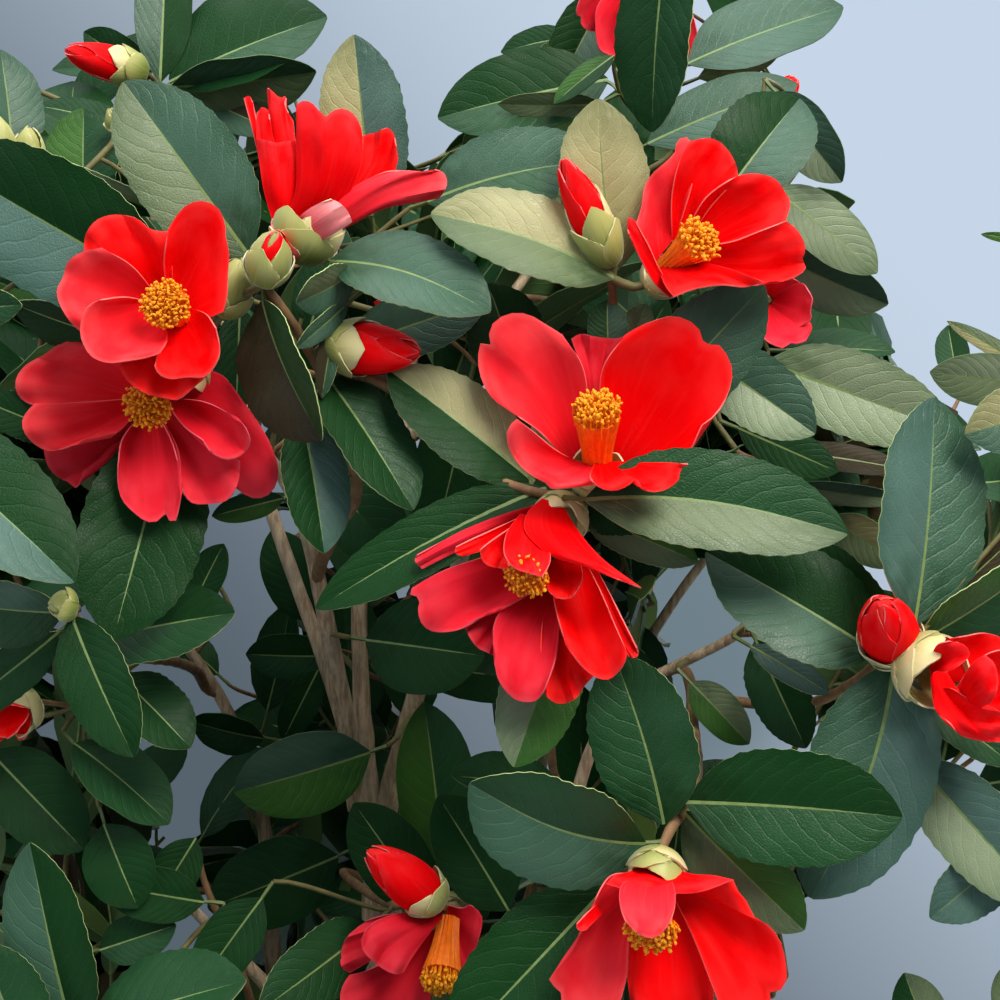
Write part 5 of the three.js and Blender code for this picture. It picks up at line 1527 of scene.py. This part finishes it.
def blade_points(B, T, n, hw):
    a = unit(T - B)
    s = cross(a, unit(n - a * (n @ a)))
    t = np.array([0.06, 0.25, 0.45, 0.65, 0.85, 1.0])
    w = outline(t) * hw
    c = B + (T - B) * t[:, None]
    return np.concatenate([c, c + s * w[:, None], c - s * w[:, None], c + s * w[:, None] * 0.5, c - s * w[:, None] * 0.5])


def leafy_shoot(m, p, g, n_leaves, lod, rng, pick, least=2, sizes=(0.056, 0.084), loose=False, far=0.35):
    """A shoot that ends at p and grows along g, with leaves in a spiral round its last part."""
    global filled, skipped
    length = rng.uniform(0.030, 0.048) + 0.006 * n_leaves
    foot = p - g * length
    side = any_across(g)
    q = np.linspace(0, 1, 7)
    sway = rng.uniform(-0.12, 0.12)
    sp = foot + g * (length * q)[:, None] + side * (length * sway * np.sin(math.pi * q))[:, None]
    if not room_for(sp[1:], True):
        return None
    phi = rng.uniform(0, 6.28)
    hub = CENTRE[m]
    e1, e2 = side, cross(g, side)
    keep = []
    for i in range(n_leaves):
        f = 0.25 + 0.75 * (i + 0.5) / n_leaves
        at_twig = foot + g * (length * f) + side * (length * sway * math.sin(math.pi * f))
        phi += 2.39996 + rng.uniform(-0.3, 0.3)
        o = e1 * math.cos(phi) + e2 * math.sin(phi)
        spread = math.radians(rng.uniform(48, 74) - 14 * (i == n_leaves - 1))
        d = unit(g * math.cos(spread) + o * math.sin(spread) + RISE * rng.uniform(-0.12, 0.22))
        L = rng.uniform(*sizes) * (0.86 + 0.14 * f)
        stalk = rng.uniform(0.006, 0.009)
        B = at_twig + unit(d + g * 0.4) * stalk
        T = B + d * L
        # it looks to the light: up and outwards
        n = unit(RISE * 0.75 + unit(B - hub) * 0.55 + np.array([0, -0.12, 0]) + rng.normal(0, 0.28, 3))
        n = unit(n - d * (n @ d))
        for _ in range(5):
            kr = np.linalg.norm(T - hub)
            lim = reach(m, (T - hub) / kr) + 0.007
            outside = (kr > lim and not loose) or (T < BOX_LO - 0.008).any() or (T > BOX_HI + 0.010).any()
            if not outside:
                break
            d = unit(d + unit(hub - T) * 0.32)
            L *= 0.94
            T = B + d * L
        T = np.minimum(np.maximum(T, BOX_LO - 0.010), BOX_HI + 0.012)
        if T[2] < 0.02:
            T[2] = 0.02
        L = np.linalg.norm(T - B)
        if L < 0.030:
            skipped += 1
            continue
        hw = L * rng.uniform(0.225, 0.275)
        if not room_for(blade_points(B, T, n, hw * 1.05)):
            skipped += 1
            continue
        keep.append((B, T, n, hw, at_twig, d))
    if len(keep) < least:
        return None
    arrive = unit(g + rng.normal(0, 0.15, 3))
    way, dist, _ = twig_path(foot, arrive, None if loose else m)
    if dist > far or unit(foot - way[0]) @ g < -0.25 or not room_for(way[1:], True):
        return None
    twig_to(foot, arrive, 0.0014, None if loose else m)
    rad = np.linspace(0.0014, 0.0009, 7)
    tube(TWIGS, sp, rad, 6 if lod else 4, 1)
    remember(sp[2:5], rad[2:5], m)
    c1, c2 = pick
    for B, T, n, hw, at_twig, d in keep:
        add_leaf(B, T, n, hw * rng.uniform(0.94, 1.06), hw * rng.uniform(0.94, 1.06), at_twig, c1, c2, lod,
                 fold=math.tan(math.radians(rng.uniform(6, 24))), arch=rng.uniform(-0.01, 0.08), bend=rng.uniform(-0.03, 0.03), twist=rng.uniform(-0.5, 0.5),
                 wave=rng.uniform(0.0, 0.07), shape=rng.uniform(0.92, 1.08), rng=rng, stalk_dir=unit(d + g * 0.4))
        filled += 1
        covered[cells_of(B, T, n, hw)] = True
    return sp[-1], g


def choose(rng, weight):
    c1 = CLASSES[rng.choice(len(CLASSES), p=weight)]
    c2 = c1 if rng.uniform() < 0.45 else CLASSES[rng.choice(len(CLASSES), p=weight)]
    return ("deep", "deep") if "bronze" in (c1, c2) and c1 != c2 else (c1, c2)


shoots_made = []
blooms_at, buds_at = [], []
for m in masses:
    hub = CENTRE[m]
    end = limb_end[m][0] if m in limb_end else hub
    hx1, hy1, hd1 = seen_at(hub)
    hidden = hd1[0] > 0.80 or not (0 < hx1[0] < 1000 and 0 < hy1[0] < 1000)
    if np.linalg.norm(hub - end) > 0.02 and hidden and room_for(twig_path(hub, unit(hub - end), m)[0][1:], True):
        twig_to(hub, unit(hub - end), 0.0010, m)
    dirs, tries = [], 0
    while len(dirs) < 24 and tries < 900:
        tries += 1
        d = unit(GO.normal(0, 1, 3))
        R = reach(m, d)
        p = hub + d * R * GO.uniform(0.42, 0.74)
        if p[2] < 0.06 or any(np.linalg.norm(p - q) < 0.033 for q, _, _ in dirs):
            continue
        beyond = hub + d * (R + 0.022)
        buried = sum(within(o, beyond) for o in masses if o != m)
        if buried and GO.uniform() < 0.70:
            continue
        dirs.append((p, d, buried))
    for p, d, buried in sorted(dirs, key=lambda v: np.linalg.norm(v[0] - hub)):
        g = unit(d * 0.85 + RISE * 0.55 + GO.normal(0, 0.18, 3))
        x, y, dep = seen_at(p)
        shown = (-100 < x[0] < 1100) and (-100 < y[0] < 1100)
        lod = 2 if (shown and dep[0] < 0.73) else (1 if not buried or shown else 0)
        made = leafy_shoot(m, p, g, int(GO.integers(4, 8)), lod, GO, choose(GO, WEIGHT))
        if made is not None:
            shoots_made.append((made[0], made[1], m, buried, d))

# the darker leaves that close the view into the heart of the shrub; their weights favour the deep class, dark leaves
# that stand in for the shade in the heart
HEART_SHADE_WEIGHT = np.array([0.60, 0.27, 0.03, 0.03, 0.04, 0.01, 0.0, 0.02, 0.0])
HEART_SHADE_WEIGHT = HEART_SHADE_WEIGHT / HEART_SHADE_WEIGHT.sum()
IN = np.random.default_rng(5)
cover = np.zeros((51, 51), bool)
made_in = 0
for k in range(900):
    px, py = IN.uniform(-30, 1030), IN.uniform(-30, 1030)
    i, j = int((py + 30) / 1060 * 50), int((px + 30) / 1060 * 50)
    if cover[i, j]:
        continue
    d = IN.uniform(0.665, 0.93)
    p = at(px, py, d)
    owner = [m for m in masses if within(m, p)]
    if not owner:
        continue
    g = unit(IN.normal(0, 1, 3) * np.array([1.0, 0.45, 1.0]) + RISE * 0.1)
    made = leafy_shoot(owner[0], p, g, int(IN.integers(4, 7)), 2 if d < 0.73 else 1, IN, choose(IN, HEART_SHADE_WEIGHT), 1, (0.060, 0.088))
    if made is not None:
        cover[max(0, i - 1):i + 2, max(0, j - 1):j + 2] = True
        made_in += 1

# single leaves wherever the heart of the shrub would still show through, outside its gaps; mostly deep, painted shade
# of the heart
CV = np.random.default_rng(31)
FILL_SHADE_WEIGHT = np.array([0.68, 0.22, 0.02, 0.03, 0.03, 0.0, 0.0, 0.02, 0.0])
FILL_SHADE_WEIGHT = FILL_SHADE_WEIGHT / FILL_SHADE_WEIGHT.sum()
added = 0
want = in_view & ~covered & ~gap_cells
first_open = int(want.sum())
for k in range(6000):
    if want.sum() < 25 or added >= 420:
        break
    ys, xs = np.nonzero(want)
    j = int(CV.integers(len(ys)))
    px, py = cell_x[ys[j], xs[j]] + CV.uniform(-4, 4), cell_y[ys[j], xs[j]] + CV.uniform(-4, 4)
    d = CV.uniform(0.662, 0.90)
    size = CV.uniform(0.050, 0.080) * (1.0 if k < 2000 else 0.75 if k < 4000 else 0.55)
    th = CV.uniform(0, 2 * math.pi)
    a = unit(RIGHT * math.cos(th) + UP * math.sin(th) + FWD * CV.uniform(-0.45, 0.45))
    B = at(px, py, d) - a * size * CV.uniform(0.25, 0.70)
    T = B + a * size
    lo, hi = np.minimum(B, T), np.maximum(B, T)
    if (lo < BOX_LO - 0.004).any() or (hi > BOX_HI + 0.006).any():
        continue
    n = unit(-FWD * 0.8 + RISE * 0.5 + CV.normal(0, 0.25, 3))
    n = unit(n - a * (n @ a))
    hw = size * CV.uniform(0.24, 0.29)
    new = cells_of(B, T, n, hw) & want
    if new.sum() < 3 or not room_for(blade_points(B, T, n, hw * 1.03), False, 0.0 if k < 1500 else 0.07):
        continue
    foot = B - a * 0.009
    way, dist, _ = twig_path(foot, a)
    if dist > 0.16 or unit(foot - way[0]) @ a < -0.1 or not room_for(way[1:], True):
        continue
    if dist > 0.012:
        twig_to(foot, a, 0.0009)
        start = foot
    else:
        start = skel_p[near_wood(foot, None, a)[0]]
    c1, c2 = choose(CV, FILL_SHADE_WEIGHT)
    add_leaf(B, T, n, hw, hw * CV.uniform(0.92, 1.08), start, c1, c2, 2 if d < 0.74 else 1, fold=math.tan(math.radians(CV.uniform(8, 22))),
             arch=CV.uniform(0, 0.06), bend=CV.uniform(-0.03, 0.03), twist=CV.uniform(-0.4, 0.4), wave=CV.uniform(0, 0.06), rng=CV, stalk_dir=a)
    covered[new] = True
    want &= ~new
    added += 1
print("open cells", first_open, "then", int(want.sum()), "leaves added", added, "of gaps", int(gap_cells.sum()), flush=True)

# looser shoots between the masses, so that the crown is full from behind and from the sides
BK = np.random.default_rng(8)
loose_at = [q for q, _, _, _, _ in shoots_made]
made_loose = 0
for k in range(2400):
    if made_loose >= 90:
        break
    around_a, away, z = BK.uniform(0, 2 * math.pi), BK.uniform(0.05, 0.20), BK.uniform(0.31, 0.97)
    o = np.array([math.cos(around_a), math.sin(around_a), 0.0])
    p = np.array([0.0, 0.0, z]) + o * away
    if (p < BOX_LO + 0.05).any() or (p > BOX_HI - 0.05).any() or min(np.linalg.norm(p - q) for q in loose_at) < 0.058:
        continue
    x, y, dep = seen_at(p)
    if -60 < x[0] < 1060 and -60 < y[0] < 1060 and dep[0] < 0.84:
        continue
    m = min(masses, key=lambda v: np.linalg.norm(p - CENTRE[v]))
    g = unit(o * 0.8 + RISE * 0.6 + BK.normal(0, 0.22, 3))
    made = leafy_shoot(m, p, g, int(BK.integers(5, 8)), 1 if away > 0.10 else 0, BK, choose(BK, WEIGHT), 3, (0.056, 0.080), True, 0.14)
    if made is not None:
        loose_at.append(p)
        shoots_made.append((made[0], made[1], m, 0, o))
        made_loose += 1

# blooms and buds at the ends of outer shoots
def perch(tip, along, foot, out):
    """The short stalk from a shoot's tip on which a bloom or bud sits."""
    along = unit(along)
    way = hermite(tip - along * 0.003, along * 0.006, foot + out * 0.0015, out * 0.006, 6)
    tube(TWIGS, way, np.linspace(0.0011, 0.0014, 6), 6, 1)


BL = np.random.default_rng(77)
order = BL.permutation(len(shoots_made))
for k in order:
    p, g, m, buried, d = shoots_made[k]
    if buried:
        continue
    out = unit(d * 0.9 + RISE * 0.15 + BL.normal(0, 0.15, 3))
    c = p + out * 0.004
    far = np.array([c + out * 0.03 + v * 0.04 for v in (any_across(out), -any_across(out), cross(out, any_across(out)), -cross(out, any_across(out)))] + [c, c + out * 0.035])
    if (far < BOX_LO - 0.012).any() or (far > BOX_HI + 0.014).any():
        continue
    sx, sy, sd = seen_at(c)
    if -70 < sx[0] < 1070 and -70 < sy[0] < 1070 and sd[0] < 0.98:
        continue
    near = min([np.linalg.norm(c - q) for q in blooms_at] or [1])
    if near > 0.155 and len(blooms_at) < 22 and room_for(far):
        bloom(c, out, BL, size=BL.uniform(0.88, 1.04), opening=BL.uniform(0.85, 1.25), count=int(BL.integers(5, 8)), kind="scarlet" if BL.uniform() < 0.7 else "crimson")
        blooms_at.append(c)
        perch(p, g, c, out)
    elif len(buds_at) < 40 and min([np.linalg.norm(c - q) for q in buds_at] or [1]) > 0.07 and near > 0.05:
        L = BL.uniform(0.016, 0.027)
        if room_for(np.array([c, c + out * L])):
            bud(c, out, L, L * 0.34, BL.choice(["green", "tip", "red"]), BL, fine=False)
            buds_at.append(c)
            perch(p, g, c, out)

# twigs to the half-hidden blooms that no shoot has reached
for foot, face in (((768, 300, .70), (785, 305, .68)), ((645, -30, .80), (640, 5, .775)), ((26, 700, .655), (-10, 735, .64))):
    foot, out = at(*foot), unit(at(*face) - at(*foot))
    grown = twig_to(foot + out * 0.001, out, 0.0013)
    print("twig to a bloom", len(grown), "rows,", round(float(np.linalg.norm(grown[-1] - grown[0])) * 1000, 1), "mm", flush=True)

LEAVES["mid"].stands_for = masses
for piece in Piece.made:
    piece.flush()
print("loose", made_loose, "leaves", leaf_count, "filled", filled, "skipped", skipped, "blooms", len(blooms_at), "buds", len(buds_at), "faces", sum(p.total for p in Piece.made), flush=True)

# ---------------------------------------------------------------- studio
floor_skin = plain_skin("floor", lin(206, 210, 216), 0.8, 14.0, 0.02, level=0.2, bumps=0.05)
sides = 96
ring = [(1.15 * math.cos(2 * math.pi * i / sides), 1.15 * math.sin(2 * math.pi * i / sides), -0.0005) for i in range(sides)]
fm = bpy.data.meshes.new("floor")
fm.from_pydata(ring, [], [tuple(range(sides))])
fm.materials.append(floor_skin)
floor = bpy.data.objects.new("floor", fm)
scene.collection.objects.link(floor)

world = bpy.data.worlds.new("studio")
scene.world = world
world.use_nodes = True
wt = world.node_tree
bg = wt.nodes["Background"]
tcw = wt.nodes.new("ShaderNodeTexCoord")
sep = wt.nodes.new("ShaderNodeSeparateXYZ")
wt.links.new(tcw.outputs["Generated"], sep.inputs[0])
# backdrop: darker towards the lower left, a painted shadow of the plant on the wall behind it
wall_shadow_c, high_c = lin(86, 98, 108), lin(198, 214, 232)
WALL_SHADOW_DIR = [float(v) for v in unit(at(655, 640, 1.0) - CAM)]  # towards the painted shadow on the backdrop behind the heart of the crown
slope = math_node(wt, "ADD", math_node(wt, "MULTIPLY", sep.outputs[0], 0.69), math_node(wt, "MULTIPLY", sep.outputs[2], 0.62))
backdrop = mix_colour(wt, ramp_range(wt, slope, -0.27, 0.21, 0.0, 1.0), wall_shadow_c, high_c)
# painted shadow on the backdrop behind the heart of the crown
toward_wall_shadow = math_node(wt, "ADD", math_node(wt, "MULTIPLY", sep.outputs[0], WALL_SHADOW_DIR[0]), math_node(wt, "ADD", math_node(wt, "MULTIPLY", sep.outputs[1], WALL_SHADOW_DIR[1]), math_node(wt, "MULTIPLY", sep.outputs[2], WALL_SHADOW_DIR[2])))
backdrop = mix_colour(wt, ramp_range(wt, toward_wall_shadow, 0.9925, 0.9990, 0.0, 0.85), backdrop, lin(100, 119, 127))
around = mix_colour(wt, ramp_range(wt, sep.outputs[2], -0.3, 0.9, 0.0, 1.0), lin(84, 92, 100), lin(176, 184, 190))
sky = mix_colour(wt, ramp_range(wt, sep.outputs[1], 0.45, 0.80, 0.0, 1.0), around, backdrop)
wt.links.new(sky, bg.inputs["Color"])
bg.inputs["Strength"].default_value = 1.0


def lamp(name, place, target, size, power, colour, size_y=None):
    data = bpy.data.lights.new(name, "AREA")
    data.shape = "RECTANGLE"
    data.size, data.size_y = size, size_y or size
    data.energy, data.color = power, colour
    ob = bpy.data.objects.new(name, data)
    ob.location = place
    ob.rotation_euler = (Vector(target) - Vector(place)).to_track_quat("-Z", "Y").to_euler()
    scene.collection.objects.link(ob)
    return ob


lamp("key", (0.75, -1.15, 2.15), (0.0, -0.1, 0.75), 0.9, 42, (1.0, 0.95, 0.86))
lamp("top", (-0.35, -0.1, 2.5), (0.0, 0.0, 0.8), 1.2, 22, (0.95, 0.98, 1.0))
lamp("fill", (-1.7, -1.5, 1.3), (0.0, 0.0, 0.6), 1.6, 12, (0.86, 0.93, 1.0))
lamp("rim", (0.9, 1.7, 1.9), (0.0, 0.0, 0.7), 1.4, 18, (1.0, 0.97, 0.92))
scene.view_settings.view_transform = "Standard"
scene.view_settings.look = "None"
scene.view_settings.exposure = 0.0
scene.view_settings.gamma = 1.0
